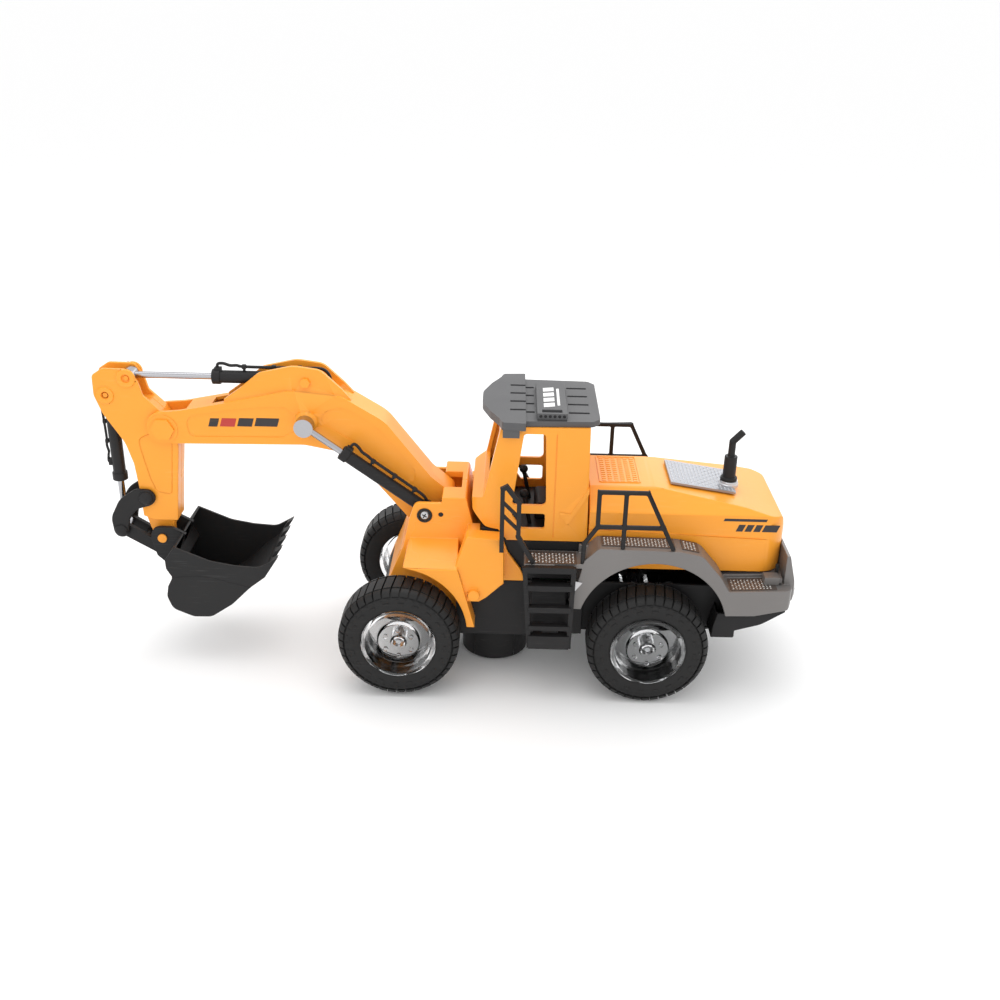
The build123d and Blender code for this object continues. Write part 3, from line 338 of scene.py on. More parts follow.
def softened(cadNode, width, look, body, sharpAngle=28.0):
    # the CAD shell with its moulded edges rounded over; a width of 0 keeps its edges sharp
    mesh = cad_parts[cadNode].data.copy()
    work = bmesh.new()
    work.from_mesh(mesh)
    bmesh.ops.remove_doubles(work, verts=work.verts, dist=2e-6)
    if width == 0:
        work.to_mesh(mesh)
        work.free()
        smoothEdges(mesh, plainAngle)
        source = bpy.data.objects.new("work", mesh)
        scene.collection.objects.link(source)
        weights = source.modifiers.new("shade", "WEIGHTED_NORMAL")
        weights.keep_sharp = True
        weights.weight = 100
        piece = addPiece(cadNode + "_shell", applied(source), look, body)
        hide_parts(cadNode)
        return piece
    bmesh.ops.dissolve_limit(work, angle_limit=math.radians(0.4), verts=work.verts, edges=work.edges)
    work.to_mesh(mesh)
    surface = BVHTree.FromBMesh(work)
    work.free()
    source = bpy.data.objects.new("work", mesh)
    scene.collection.objects.link(source)
    bevel = source.modifiers.new("round", "BEVEL")
    bevel.width = width / 1000
    bevel.segments = 2
    bevel.limit_method = "ANGLE"
    bevel.angle_limit = math.radians(sharpAngle)
    bevel.use_clamp_overlap = False
    bevel.miter_outer = "MITER_ARC"
    mesh.shade_smooth()
    weights = source.modifiers.new("shade", "WEIGHTED_NORMAL")
    weights.keep_sharp = False
    rounded = applied(source)
    # a corner thrown off the moulding by the rounding goes back onto it
    for vertex in rounded.vertices:
        nearest, normal, face, distance = surface.find_nearest(vertex.co)
        if distance > strayShare * width / 1000:
            vertex.co = nearest
    piece = addPiece(cadNode + "_shell", rounded, look, body)
    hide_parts(cadNode)
    return piece


def turned(profile, steps, closed=True):
    # a (radius, depth) outline swept about the Y axis
    mesh = bpy.data.meshes.new("turned")
    count = len(profile)
    verts = []
    for i in range(steps):
        angle = 2 * math.pi * i / steps
        for radius, depth in profile:
            verts.append((radius * math.cos(angle) / 1000, depth / 1000, radius * math.sin(angle) / 1000))
    faces = []
    for i in range(steps):
        j = (i + 1) % steps
        for k in range(count if closed else count - 1):
            m = (k + 1) % count
            faces.append((i * count + k, i * count + m, j * count + m, j * count + k))
    mesh.from_pydata(verts, [], faces)
    return mesh


def outward(mesh):
    work = bmesh.new()
    work.from_mesh(mesh)
    bmesh.ops.remove_doubles(work, verts=work.verts, dist=1e-6)
    bmesh.ops.recalc_face_normals(work, faces=work.faces)
    work.to_mesh(mesh)
    work.free()
    return mesh


def placed(mesh, spot, turn=None, flip=False):
    matrix = Matrix.Translation(spot) @ (turn or Matrix.Identity(4))
    mesh.transform(matrix)
    if flip:
        mesh.flip_normals()
    return mesh


def joined(meshes):
    work = bmesh.new()
    for mesh in meshes:
        work.from_mesh(mesh)
    mesh = bpy.data.meshes.new("joined")
    work.to_mesh(mesh)
    work.free()
    return mesh


# the CAD nodes that keep their shape get their finish
plainNodes = {
    "blackPlastic": ["battery_box", "battery_door", "speaker", "power_switch", "turret_housing",
    "tower_pins", "cab_floor",
                     "control_levers", "link_bars"],
    "yellowShell": ["boom_pins", "stick_pins"],
    "tyreRubber": ["drive_wheels"],
    "platedRod": ["boom_rods", "stick_rod", "bucket_rod"],
    "clearPlastic": ["front_rim_left", "front_rim_right", "rear_rim_left", "rear_rim_right"],
    "steelWire": ["front_axle", "rear_axle", "drive_axle", "drive_motor", "battery_door_screw"],
    "greyBody": ["tail_lamps"],
    "cellCan": ["battery_cells"],
    "springBrass": ["battery_contacts"],
    "boardGreen": ["circuit_board"],
    "plateGround": ["hood_tread_plate"],
}
for look, members in plainNodes.items():
    for member in members:
        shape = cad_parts[member]
        shape.data.materials.clear()
        shape.data.materials.append(finish[look])

# shells whose moulded edges are rounded: node, edge radius in mm, finish, body, slot
shells = [
    ("front_body_left", 0.5, "yellowShell", "truck", "yellow_plastic"),
    ("front_body_right", 0.5, "yellowShell", "truck", "yellow_plastic"),
    ("cab", 0, "yellowShell", "truck", "yellow_plastic"),
    ("hood", 0.6, "yellowShell", "truck", "yellow_plastic"),
    ("boom_left", 0, "yellowShell", "boom", "yellow_plastic"),
    ("boom_right", 0, "yellowShell", "boom", "yellow_plastic"),
    ("stick_left", 0.5, "yellowShell", "stick", "yellow_plastic"),
    ("stick_right", 0.5, "yellowShell", "stick", "yellow_plastic"),
    ("bucket", 0.35, "bucketPlastic", "digging_bucket", "black_plastic"),
    ("rocker_links", 0.9, "blackPlastic", "rocker", "black_plastic"),
    ("chassis", 0.5, "blackPlastic", "truck", "black_plastic"),
    ("cab_base", 0.5, "blackPlastic", "truck", "black_plastic"),
    ("seat", 0.8, "blackPlastic", "truck", "black_plastic"),
    ("roof", 0, "roofPlastic", "truck", "roof_plastic"),
    ("roof_plate", 0.3, "roofPlastic", "truck", "roof_plastic"),
    ("rear_body", 0.5, "greyBody", "truck", "grey_plastic"),
    ("exhaust_stack", 0.4, "blackPlastic", "truck", "black_plastic"),
    ("rail_left", 0.7, "blackPlastic", "truck", "black_plastic"),
    ("rail_right", 0.7, "blackPlastic", "truck", "black_plastic"),
    ("grab_rail_left", 0, "blackPlastic", "truck", "black_plastic"),
    ("grab_rail_right", 0, "blackPlastic", "truck", "black_plastic"),
    ("ladder_left", 0, "blackPlastic", "truck", "black_plastic"),
    ("ladder_right", 0, "blackPlastic", "truck", "black_plastic"),
    ("boom_barrels", 0.35, "blackPlastic", "boom_ram_barrels", "black_plastic"),
    ("stick_barrel", 0.35, "blackPlastic", "stick_ram_barrel", "black_plastic"),
    ("bucket_barrel", 0.35, "blackPlastic", "bucket_ram_barrel", "black_plastic"),
]
for cadNode, width, look, body, slotName in shells:
    softened(cadNode, width, look, body)
print("stage: shells")

# Geometry Nodes: one tree that repeats a shape in a ring, one that repeats it over a sheet
def newTree(name, inputs):
    tree = bpy.data.node_groups.new(name, "GeometryNodeTree")
    tree.interface.new_socket(name="Geometry", in_out="INPUT", socket_type="NodeSocketGeometry")
    for label, kind, value in inputs:
        socket = tree.interface.new_socket(name=label, in_out="INPUT", socket_type=kind)
        if value is not None:
            socket.default_value = value
    tree.interface.new_socket(name="Geometry", in_out="OUTPUT", socket_type="NodeSocketGeometry")
    return tree, tree.nodes.new("NodeGroupInput"), tree.nodes.new("NodeGroupOutput")


def closeTree(tree, instances, start, end):
    real = node(tree, "GeometryNodeRealizeInstances", {"Geometry": instances})
    paint = node(tree, "GeometryNodeSetMaterial",
        {"Geometry": real.outputs[0], "Material": start.outputs["Material"]})
    tree.links.new(paint.outputs[0], end.inputs["Geometry"])


ringTree, ringIn, ringOut = newTree("repeatRound", [
    ("Count", "NodeSocketInt", 12), ("Start Turn", "NodeSocketFloat", 0.0),
    ("Material", "NodeSocketMaterial", None)])
points = node(ringTree, "GeometryNodeMeshLine", {"Count": ringIn.outputs["Count"], "Offset": (0, 0, 0)})
index = node(ringTree, "GeometryNodeInputIndex")
share = node(ringTree, "ShaderNodeMath", {0: index.outputs[0], 1: ringIn.outputs["Count"]}, operation="DIVIDE")
turn = node(ringTree, "ShaderNodeMath", {0: share.outputs[0], 1: 2 * math.pi, 2: ringIn.outputs["Start Turn"]},
            operation="MULTIPLY_ADD")
spin = node(ringTree, "ShaderNodeCombineXYZ", {"Y": turn.outputs[0]})
copies = node(ringTree, "GeometryNodeInstanceOnPoints", {"Points": points.outputs[0],
              "Instance": ringIn.outputs["Geometry"], "Rotation": spin.outputs[0]})
closeTree(ringTree, copies.outputs[0], ringIn, ringOut)

# rows of a shape on a flat sheet, every other row moved by half a pitch when Brick is 0.5
sheetTree, sheetIn, sheetOut = newTree("repeatOverSheet", [
    ("Columns", "NodeSocketInt", 10), ("Rows", "NodeSocketInt", 6), ("Pitch X", "NodeSocketFloat", 0.002),
    ("Pitch Y", "NodeSocketFloat", 0.002), ("Brick", "NodeSocketFloat", 0.0),
    ("Flip Turn", "NodeSocketFloat", 0.0),
    ("Material", "NodeSocketMaterial", None)])
total = node(sheetTree, "ShaderNodeMath", {0: sheetIn.outputs["Columns"], 1: sheetIn.outputs["Rows"]},
    operation="MULTIPLY")
points = node(sheetTree, "GeometryNodeMeshLine", {"Count": total.outputs[0], "Offset": (0, 0, 0)})
index = node(sheetTree, "GeometryNodeInputIndex")
ratio = node(sheetTree, "ShaderNodeMath", {0: index.outputs[0], 1: sheetIn.outputs["Columns"]},
    operation="DIVIDE")
row = node(sheetTree, "ShaderNodeMath", {0: ratio.outputs[0]}, operation="FLOOR")
column = node(sheetTree, "ShaderNodeMath", {0: index.outputs[0], 1: sheetIn.outputs["Columns"]},
    operation="MODULO")
odd = node(sheetTree, "ShaderNodeMath", {0: row.outputs[0], 1: 2.0}, operation="MODULO")
push = node(sheetTree, "ShaderNodeMath", {0: odd.outputs[0], 1: sheetIn.outputs["Brick"], 2: column.outputs[0]},
            operation="MULTIPLY_ADD")
placeX = node(sheetTree, "ShaderNodeMath", {0: push.outputs[0], 1: sheetIn.outputs["Pitch X"]},
    operation="MULTIPLY")
placeY = node(sheetTree, "ShaderNodeMath", {0: row.outputs[0], 1: sheetIn.outputs["Pitch Y"]},
    operation="MULTIPLY")
spread = node(sheetTree, "ShaderNodeCombineXYZ", {"X": placeX.outputs[0], "Y": placeY.outputs[0]})
moved = node(sheetTree, "GeometryNodeSetPosition", {"Geometry": points.outputs[0], "Offset": spread.outputs[0]})
both = node(sheetTree, "ShaderNodeMath", {0: row.outputs[0], 1: column.outputs[0]}, operation="ADD")
checker = node(sheetTree, "ShaderNodeMath", {0: both.outputs[0], 1: 2.0}, operation="MODULO")
flip = node(sheetTree, "ShaderNodeMath", {0: checker.outputs[0], 1: sheetIn.outputs["Flip Turn"]},
    operation="MULTIPLY")
spin = node(sheetTree, "ShaderNodeCombineXYZ", {"Z": flip.outputs[0]})
copies = node(sheetTree, "GeometryNodeInstanceOnPoints", {"Points": moved.outputs[0],
              "Instance": sheetIn.outputs["Geometry"], "Rotation": spin.outputs[0]})
closeTree(sheetTree, copies.outputs[0], sheetIn, sheetOut)


def repeated(tree, mesh, look, **values):
    source = bpy.data.objects.new("work", mesh)
    scene.collection.objects.link(source)
    modifier = source.modifiers.new("repeat", "NODES")
    modifier.node_group = tree
    values["Material"] = finish[look]
    for item in tree.interface.items_tree:
        if item.item_type == "SOCKET" and item.in_out == "INPUT" and item.name.replace(" ", "") in values:
            modifier[item.identifier] = values[item.name.replace(" ", "")]
        elif item.item_type == "SOCKET" and item.in_out == "INPUT" and item.name in values:
            modifier[item.identifier] = values[item.name]
    return applied(source)


# small solid shapes, in millimetres
def prism(outline, low, high, plane="XY"):
    # flat outline given thickness; plane XZ puts the outline in the side view and low..high along Y
    count = len(outline)
    verts = []
    for level in (low, high):
        for u, v in outline:
            spot = (u, v, level) if plane == "XY" else (u, level, v)
            verts.append([c / 1000 for c in spot])
    faces = [list(range(count)), list(range(2 * count - 1, count - 1, -1))]
    for i in range(count):
        j = (i + 1) % count
        faces.append([i, i + count, j + count, j])
    mesh = bpy.data.meshes.new("prism")
    mesh.from_pydata(verts, [], faces)
    return outward(mesh)


def tube(route, radius, sides=10):
    # round bar along a route of (x, y, z) in millimetres, with closed ends
    curve = bpy.data.curves.new("route", "CURVE")
    curve.dimensions = "3D"
    curve.bevel_depth = radius / 1000
    curve.bevel_resolution = max(0, sides // 4 - 1)
    curve.use_fill_caps = True
    spline = curve.splines.new("POLY")
    spline.points.add(len(route) - 1)
    for point, spot in zip(spline.points, route):
        point.co = (*[c / 1000 for c in spot], 1)
    source = bpy.data.objects.new("work", curve)
    scene.collection.objects.link(source)
    return outward(applied(source))


def smoothRoute(points, steps=6):
    # a softened line through given points
    dense = []
    for i in range(len(points) - 1):
        before, here, there, after = (Vector(points[max(0, i - 1)]), Vector(points[i]), Vector(points[i + 1]),
                                      Vector(points[min(len(points) - 1, i + 2)]))
        for k in range(steps):
            t = k / steps
            curve = 2 * here + (there - before) * t
            curve += (2 * before - 5 * here + 4 * there - after) * t * t
            curve += (3 * here - before - 3 * there + after) * t ** 3
            dense.append(0.5 * curve)
    dense.append(Vector(points[-1]))
    return [tuple(p) for p in dense]


def brick(size, centre, turnY=0.0):
    # a box of (x, y, z) size with its corners rounded a little
    work = bmesh.new()
    bmesh.ops.create_cube(work, size=1.0)
    bmesh.ops.scale(work, vec=[s / 1000 for s in size], verts=work.verts)
    bmesh.ops.bevel(work, geom=list(work.edges), offset=min(size) * 0.00015, segments=2, affect="EDGES",
        profile=0.5)
    mesh = bpy.data.meshes.new("brick")
    work.to_mesh(mesh)
    work.free()
    mesh.transform(Matrix.Translation([c / 1000 for c in centre]) @ Matrix.Rotation(turnY, 4, "Y"))
    return mesh


def mirrored(mesh):
    other = mesh.copy()
    other.transform(Matrix.Scale(-1, 4, (0, 1, 0)))
    other.flip_normals()
    return other


def toTruck(mesh):
    mesh.transform(Matrix.Translation((axleX, 0, 0)))
    return mesh


# tyres: carcass, forty lugs with a groove near each shoulder, and small marks on the wall
tyre = {"lugs": 40, "lugTurn": 7.3, "skew": 2.2, "half": 12.5, "marks": 20, "markRadius": 28.6,
    "markTurn": 0.08,
        "wall": 24.4, "mark": (1.6, 0.6, 3.6), "dash": (1.2, 0.6, 1.7), "dashRise": 2.9, "steps": 160,
        "crease": 32}
carcass = [
    (23.05, 1.6), (24.6, 0.7), (32.6, 0.5), (34.6, 2.2), (35.6, 5.0), (35.6, 20.0), (34.6, 22.8),
    (32.6, 24.5), (24.6, 24.3),
    (23.05, 23.4),
]
lugOutline = [
    (33.6, 24.2), (33.9, 24.75), (35.9, 23.4), (37.1, 21.4), (37.35, 20.3), (36.4, 20.0), (36.4, 19.2),
    (37.4, 18.9),
    (37.4, 6.1), (36.4, 5.8), (36.4, 5.0), (37.35, 4.7), (37.1, 3.6), (35.9, 1.6), (33.9, 0.25),
    (33.6, 0.8), (35.0, 4.0),
    (35.0, 21.0),
]


def lugMesh(values, outline):
    mesh = bpy.data.meshes.new("lug")
    verts = []
    steps = 3
    for i in range(steps):
        for radius, depth in outline:
            skew = values["skew"] * (depth - values["half"]) / values["half"]
            angle = math.radians(values["lugTurn"] * (i / (steps - 1) - 0.5) + skew)
            verts.append((radius * math.cos(angle) / 1000, depth / 1000, radius * math.sin(angle) / 1000))
    count = len(outline)
    faces = [list(range(count - 1, -1, -1)), [(steps - 1) * count + k for k in range(count)]]
    for i in range(steps - 1):
        for k in range(count):
            m = (k + 1) % count
            faces.append((i * count + k, i * count + m, (i + 1) * count + m, (i + 1) * count + k))
    mesh.from_pydata(verts, [], faces)
    return outward(mesh)


def makeTyre(end, side):
    cadNode = f"{end}_tyre_{side}"
    low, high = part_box(cadNode)
    centre = (low + high) / 2
    ring = outward(turned(carcass, tyre["steps"]))
    lugs = repeated(ringTree, lugMesh(tyre, lugOutline), "tyreRubber", Count=tyre["lugs"])
    r = tyre["markRadius"]
    bar = brick(tyre["mark"], (r, tyre["wall"], 0))
    marks = repeated(ringTree, bar, "tyreRubber", Count=tyre["marks"], StartTurn=tyre["markTurn"])
    bar = brick(tyre["dash"], (r + tyre["dashRise"], tyre["wall"], 0))
    dashes = repeated(ringTree, bar, "tyreRubber", Count=tyre["lugs"])
    mesh = joined([ring, lugs, marks, dashes])
    mesh.transform(Matrix.Translation((0, -tyre["half"] / 1000, 0)))
    if side == "left":
        mesh.transform(Matrix.Scale(-1, 4, (0, 1, 0)))
        mesh.flip_normals()
    mesh.transform(Matrix.Translation(centre))
    smoothEdges(mesh, tyre["crease"])
    piece = addPiece(f"{end}_tyre_{side}_tread", mesh, "tyreRubber", f"{end}_wheel_set")
    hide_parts(cadNode)


for end in ("front", "rear"):
    for side in ("left", "right"):
        makeTyre(end, side)
print("stage: tyres")


# lozenge plates
def lozenge(length, width, height):
    # a low raised diamond with a flat crown
    outer = [(length / 2, 0), (0, width / 2), (-length / 2, 0), (0, -width / 2)]
    verts = [(x / 1000, y / 1000, 0) for x,
        y in outer] + [(x * 0.45 / 1000, y * 0.45 / 1000, height / 1000) for x, y in outer]
    faces = [(3, 2, 1, 0), (4, 5, 6, 7)] + [(i, (i + 1) % 4, 4 + (i + 1) % 4, 4 + i) for i in range(4)]
    mesh = bpy.data.meshes.new("lozenge")
    mesh.from_pydata(verts, [], faces)
    mesh.transform(Matrix.Rotation(math.radians(25), 4, "Z"))
    return mesh


# a deck: corner x, y, z in mm, length along x, width along y, slope down towards the tail in degrees
decks = {
    "rearDeck": {"corner": (48.6, -54.0, 76.0), "size": (28.0, 15.0), "slope": -2.65, "pitch": 2.05,
    "trim": 0.9},
    "ladderDeck": {"corner": (-76.2, -56.2, 92.72), "size": (30.5, 15.6), "slope": 0.0, "pitch": 2.05,
    "trim": 0.9},
    "fenderDeck": {"corner": (-31.0, -51.5, 103.32), "size": (44.0, 12.6), "slope": 0.95, "pitch": 2.05,
    "trim": 0.9},
    "fenderEnd": {"corner": (17.2, -51.5, 102.25), "size": (10.6, 12.6), "slope": 11.3, "pitch": 2.05,
    "trim": 0.9},
}


def slopedPlace(spot, slope):
    # a flat sheet tipped down towards the tail, at a place in millimetres
    move = Matrix.Translation([c / 1000 for c in spot])
    return move @ Matrix.Rotation(math.radians(slope), 4, "Y")


def makeDeck(name, values):
    length, width = values["size"]
    pitch = values["pitch"]
    trim = values["trim"]
    sheet = prism([(0, 0), (length, 0), (length, width), (0, width)], -0.15, 0.22)
    columns = int((length - 2 * trim) / pitch)
    rows = int((width - 2 * trim) / pitch)
    dots = repeated(sheetTree, lozenge(1.75, 0.95, 0.42), "lozengeMetal", Columns=columns, Rows=rows,
        PitchX=pitch / 1000,
                    PitchY=pitch / 1000, Brick=0.0, FlipTurn=math.radians(80))
    dots.transform(Matrix.Translation(((trim + pitch / 2) / 1000, (trim + pitch / 2) / 1000, 0.00018)))
    place = slopedPlace(values["corner"], values["slope"])
    for suffix, mesh, look, slotName in (("base", sheet, "deckPlastic", "grey_plastic"),
        ("lozenges", dots, "lozengeMetal",
                                         "silver_plastic")):
        mesh.transform(place)
        both = joined([mesh, mirrored(mesh)])
        addPiece(f"{name}_{suffix}", toTruck(both), look, "truck")


for name, values in decks.items():
    makeDeck(name, values)

# the bright plate on the hood slopes with the hood's top
hoodPlate = {"centre": (32.3, 0, 127.35), "half": (20.0, 16.8), "slope": 8.68, "pitch": 2.35, "rise": 0.7}


def makeHoodPlate(values):
    columns = int(2 * values["half"][0] / values["pitch"])
    rows = int(2 * values["half"][1] / values["pitch"])
    dots = repeated(sheetTree, lozenge(2.2, 1.1, 0.4), "silverPlate", Columns=columns, Rows=rows,
                    PitchX=values["pitch"] / 1000, PitchY=values["pitch"] / 1000, Brick=0.0,
                    FlipTurn=math.radians(80))
    shift = [-(n - 1) * values["pitch"] / 2000 for n in (columns, rows)]
    dots.transform(Matrix.Translation((*shift, (values["rise"] - 0.03) / 1000)))
    place = slopedPlace(values["centre"], values["slope"])
    dots.transform(place)
    addPiece("hood_plate_lozenges", toTruck(dots), "silverPlate", "truck")


makeHoodPlate(hoodPlate)

# hood grille: a raised frame with rows of small cells
grille = {"from": (-31.6, -18.6), "to": (-6.8, 20.6), "top": 130.4, "rows": 12, "columns": 6}


def makeGrille(values):
    (x0, y0), (x1, y1) = values["from"], values["to"]
    top = values["top"]
    pitchX = (x1 - x0 - 1.6) / values["columns"]
    pitchY = (y1 - y0 - 1.6) / values["rows"]
    parts = [brick((x1 - x0, 0.9, 0.9), ((x0 + x1) / 2, y, top + 0.1)) for y in (y0, y1)]
    parts += [brick((0.9, y1 - y0, 0.9), (x, (y0 + y1) / 2, top + 0.1)) for x in (x0, x1)]
    cell = brick((pitchX * 0.66, pitchY * 0.62, 0.8),
        (x0 + 0.8 + pitchX / 2, y0 + 0.8 + pitchY / 2, top + 0.05))
    parts.append(repeated(sheetTree, cell, "yellowShell", Columns=values["columns"], Rows=values["rows"],
                          PitchX=pitchX / 1000, PitchY=pitchY / 1000, Brick=0.0, FlipTurn=0.0))
    addPiece("hood_grille", toTruck(joined(parts)), "yellowShell", "truck")


makeGrille(grille)
print("stage: decks, hood plate and grille")

# ram hoses with their clips, laid out in each ram's own line
hoses = {
    "boomRam": {"start": (-139.0, 109.5), "aim": (-212.0, 162.3), "body": "boom_ram_barrels",
                "y": 19.0, "twin": True, "radius": 0.95,
                "route": [(60.0, 4.4), (60.0, 8.6), (57.0, 9.0), (53.0, 7.6), (49.0, 7.5), (44.0, 7.0),
                (28.0, 6.9),
                          (13.0, 6.8), (6.0, 6.4), (2.0, 4.6)], "clips": (44.0, 28.0, 13.0)},
    "stickRam": {"start": (-212.0, 186.3), "aim": (-320.4, 186.3), "body": "stick_ram_barrel",
                 "y": 0.0, "twin": False, "radius": 0.95,
                 "route": [(54.0, 4.4), (54.0, 7.9), (50.5, 8.4), (46.5, 7.2), (42.5, 7.3), (38.0, 6.6),
                 (20.0, 6.5),
                           (0.0, 6.6), (-9.0, 6.4), (-13.0, 3.6), (-14.5, -0.5)], "clips": (38.0, 20.0, 4.0)},
    "bucketRam": {"start": (-334.3, 175.2), "aim": (-334.5, 84.5), "body": "bucket_ram_barrel",
                  "y": 0.0, "twin": False, "radius": 0.8, "reach": 0.80,
                  "route": [(47.0, 4.0), (47.0, 6.0), (43.0, 5.7),
                  (40.0, 5.2), (36.0, 5.9), (31.0, 5.4), (18.0, 5.7), (8.0, 5.9), (2.0, 3.6)],
                  "clips": (33.0, 20.0, 9.0)},
}


hoseParts = {"clip": (1.5, 1.3, 4.2), "clipRise": 5.4, "knob": (2.6, 2.7, 2.6), "knobRise": 6.6,
             "block": (4.4, 3.6, 3.0), "blockRise": 4.6, "crease": 40}


def ramPlace(values, t, offset, y):
    (x0, z0), (x1, z1) = values["start"], values["aim"]
    length = math.hypot(x1 - x0, z1 - z0)
    ux, uz = (x1 - x0) / length, (z1 - z0) / length
    return (x0 + ux * t + uz * offset, y, z0 + uz * t - ux * offset)


def reached(size, reach):
    return (size[0], size[1], size[2] * reach)


def makeHose(name, values):
    y = -values["y"]
    route = [ramPlace(values, t, offset, y) for t, offset in values["route"]]
    parts = [tube(smoothRoute(route), values["radius"])]
    reach = values.get("reach", 1.0)
    (x0, z0), (x1, z1) = values["start"], values["aim"]
    lean = -math.atan2(z1 - z0, x1 - x0)
    sign = 1 if values["route"][0][1] > 0 else -1
    for t in values["clips"]:
        centre = ramPlace(values, t, sign * hoseParts["clipRise"] * reach, y)
        parts.append(brick(reached(hoseParts["clip"], reach), centre, lean))
        knob = ramPlace(values, t, sign * hoseParts["knobRise"] * reach, y)
        parts.append(brick(reached(hoseParts["knob"], reach), knob, lean))
    root = ramPlace(values, values["route"][0][0], sign * hoseParts["blockRise"], y)
    parts.append(brick(reached(hoseParts["block"], reach), root, lean))
    mesh = joined(parts)
    if values["twin"]:
        mesh = joined([mesh, mirrored(mesh)])
    smoothEdges(mesh, hoseParts["crease"])
    addPiece(f"{name}_hose", toTruck(mesh), "blackPlastic", values["body"])


for name, values in hoses.items():
    makeHose(name, values)
print("stage: hoses")

# round things: tower screws, rocker domes
screwParts = {
    "washer": [(4.7, 0.0), (4.7, 0.7), (4.2, 1.1), (3.5, 1.1), (3.2, 0.7), (3.2, 0.0)],
    "head": [(0.0, 0.0), (2.9, 0.0), (2.9, 0.35), (2.2, 0.95), (0.0, 1.15)],
}
towerScrew = {"place": (-139.0, 109.5), "face": 28.5}


def roundPiece(profile, x, z, face, steps=40):
    # a (radius, height) outline standing out of the -Y side at (x, z)
    mesh = turned([(radius, -height) for radius, height in profile], steps)
    mesh.transform(Matrix.Translation((x / 1000, -face / 1000, z / 1000)))
    return outward(mesh)


x, z = towerScrew["place"]
washer = roundPiece(screwParts["washer"], x, z, towerScrew["face"])
head = roundPiece(screwParts["head"], x, z, towerScrew["face"])
slots = [brick((3.2, 0.5, 0.7), (x, -towerScrew["face"] - 1.0, z), math.radians(a)) for a in (30, 120)]
for suffix, mesh, look in (("washer", washer, "blackPlastic"), ("head", head, "steelWire"),
                           ("cross", joined(slots), "blackPlastic")):
    smoothEdges(mesh, 35)
    both = joined([mesh, mirrored(mesh)])
    smoothEdges(both, 35)
    addPiece(f"tower_screw_{suffix}", toTruck(both), look, "truck")

domeProfile = [(0.0, -0.1), (1.0, -0.1), (1.0, 0.0), (0.96, 0.3), (0.8, 0.6), (0.5, 0.84), (0.25, 0.95),
    (0.0, 1.0)]
for name, place, radius, height in (("rocker_dome_upper", (-316.0, 107.8), 4.6, 2.4),
    ("rocker_dome_lower", (-334.5, 84.5), 4.2, 1.9)):
    profile = [(r * radius, h * height) for r, h in domeProfile]
    mesh = roundPiece(profile, *place, 10.75)
    both = joined([mesh, mirrored(mesh)])
    smoothEdges(both, 50)
    addPiece(name, toTruck(both), "blackPlastic", "rocker")

# lamp bar studs on the roof plate
studs = {"count": 6, "from": -70.0, "pitch": 2.75, "y": -34.6, "z": 178.6}
stud = roundPiece([(0.0, -0.3), (0.95, -0.3), (0.95, 0.0), (0.7, 0.35), (0.0, 0.5)], 0, 0, 0, steps=14)
row = repeated(sheetTree, stud, "blackPlastic", Columns=studs["count"], Rows=1,
    PitchX=studs["pitch"] / 1000, PitchY=0.0,
               Brick=0.0, FlipTurn=0.0)
row.transform(Matrix.Translation((studs["from"] / 1000, studs["y"] / 1000, studs["z"] / 1000)))
addPiece("roof_lamp_studs", toTruck(row), "blackPlastic", "truck")

# badges: plain slanted bars in place of any lettering
badges = {
    "boomBadge": {"look": "badgeInk", "body": "boom", "face": 9.75, "start": (-272.5, 157.3),
    "bars": [5.5, 9.0, 9.0, 14.0],
                  "gap": 1.6, "height": 5.4, "lean": 1.6, "rise": 0.03, "red": 1},
    "hoodBadge": {"look": "badgeInk", "body": "truck", "face": 36.55, "start": (51.0, 107.6),
    "bars": [4.0, 4.0, 4.0, 9.0],
                  "gap": 1.3, "height": 4.6, "lean": 1.8, "rise": 0.0, "red": None},
    "hoodStripe": {"look": "badgeInk", "body": "truck", "face": 36.55, "start": (43.0, 114.4),
    "bars": [26.0], "gap": 1.0,
                   "height": 1.7, "lean": 0.7, "rise": 0.0, "red": None},
}


def makeBadge(name, values):
    x, z = values["start"]
    parts = []
    for length in values["bars"]:
        lift = values["rise"] * (x - values["start"][0])
        outline = [(x, z + lift), (x + length, z + lift),
            (x + length + values["lean"], z + lift + values["height"]),
                   (x + values["lean"], z + lift + values["height"])]
        parts.append(prism(outline, -values["face"] - 0.12, -values["face"] + 0.1, "XZ"))
        x += length + values["gap"]
    for suffix, chosen, look in (("bars", [p for i, p in enumerate(parts) if i != values["red"]],
        values["look"]),
                                 ("accent", [p for i, p in enumerate(parts) if i == values["red"]],
                                 "badgeRed")):
        if chosen:
            mesh = joined(chosen)
            addPiece(f"{name}_{suffix}", toTruck(joined([mesh, mirrored(mesh)])), look, values["body"])


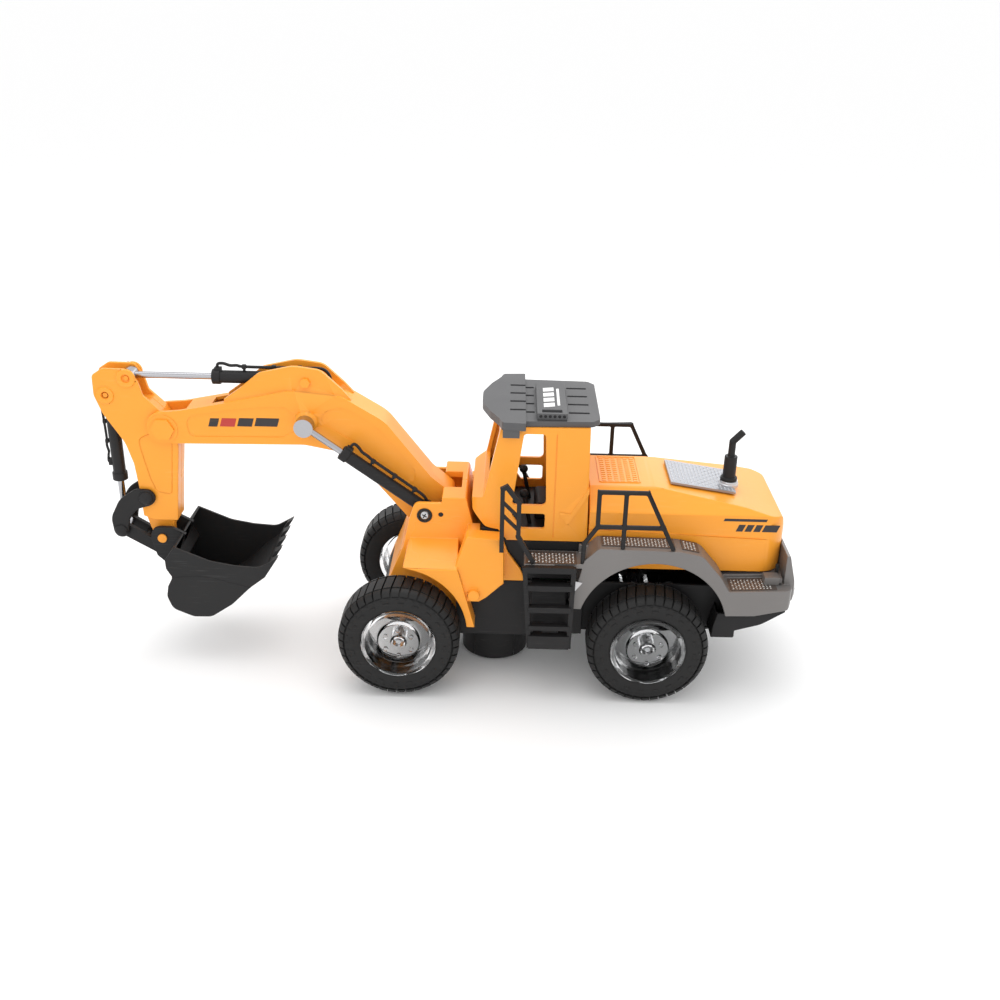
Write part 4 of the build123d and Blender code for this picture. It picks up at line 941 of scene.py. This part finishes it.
for name, values in badges.items():
    makeBadge(name, values)
plaque = {"top": 179.6, "x": (-68.0, -57.5), "y": (-22.0, 14.0), "bars": 4}
x0, x1 = plaque["x"]
span = (plaque["y"][1] - plaque["y"][0]) / plaque["bars"]
parts = []
for i in range(plaque["bars"]):
    y = plaque["y"][0] + i * span
    parts.append(prism([(x0, y), (x0 + 6.6, y + 1.6), (x0 + 6.6, y + span - 1.0), (x0, y + span - 2.6)],
        plaque["top"] - 0.1,
                       plaque["top"] + 0.12))
parts.append(prism([(x0 + 8.2, plaque["y"][0] + 3), (x0 + 9.8, plaque["y"][0] + 3.4),
    (x0 + 9.8, plaque["y"][1] - 3),
                    (x0 + 8.2, plaque["y"][1] - 3.4)], plaque["top"] - 0.1, plaque["top"] + 0.12))
addPiece("roof_plaque_bars", toTruck(joined(parts)), "badgeWhite", "truck")

# step bracket between the ladder and the rear fender
bracketShape = {"outline": [(-48.2, 81.5), (-41.8, 80.2), (-48.0, 71.8)], "outer": -56.4, "inner": -54.8}
bracket = prism(bracketShape["outline"], bracketShape["outer"], bracketShape["inner"], "XZ")
addPiece("ladder_bracket", toTruck(joined([bracket, mirrored(bracket)])), "steelWire", "truck")

# plated nut round the foot of the exhaust, posts at the tail
exhaustNut = {"place": (49.9, -6.5, 125.4), "turns": 48}
nutProfile = [(0.0, -0.7), (5.9, -0.7), (5.9, 1.3), (5.5, 1.7), (5.5, 2.6), (5.25, 3.2), (0.0, 3.2)]
nut = turned(nutProfile, exhaustNut["turns"])
nut.transform(Matrix.Rotation(math.radians(90), 4, "X"))
nut.transform(Matrix.Translation([c / 1000 for c in exhaustNut["place"]]))
nut = outward(nut)
smoothEdges(nut, 30)
addPiece("exhaust_nut", toTruck(nut), "silverPlate", "truck")
tailPost = {"size": (2.0, 2.0, 9.0), "centre": (78.3, -40.0, 83.0)}
post = brick(tailPost["size"], tailPost["centre"])
addPiece("tail_posts", toTruck(joined([post, mirrored(post)])), "blackPlastic", "truck")
print("stage: small parts")

print("stage: done")
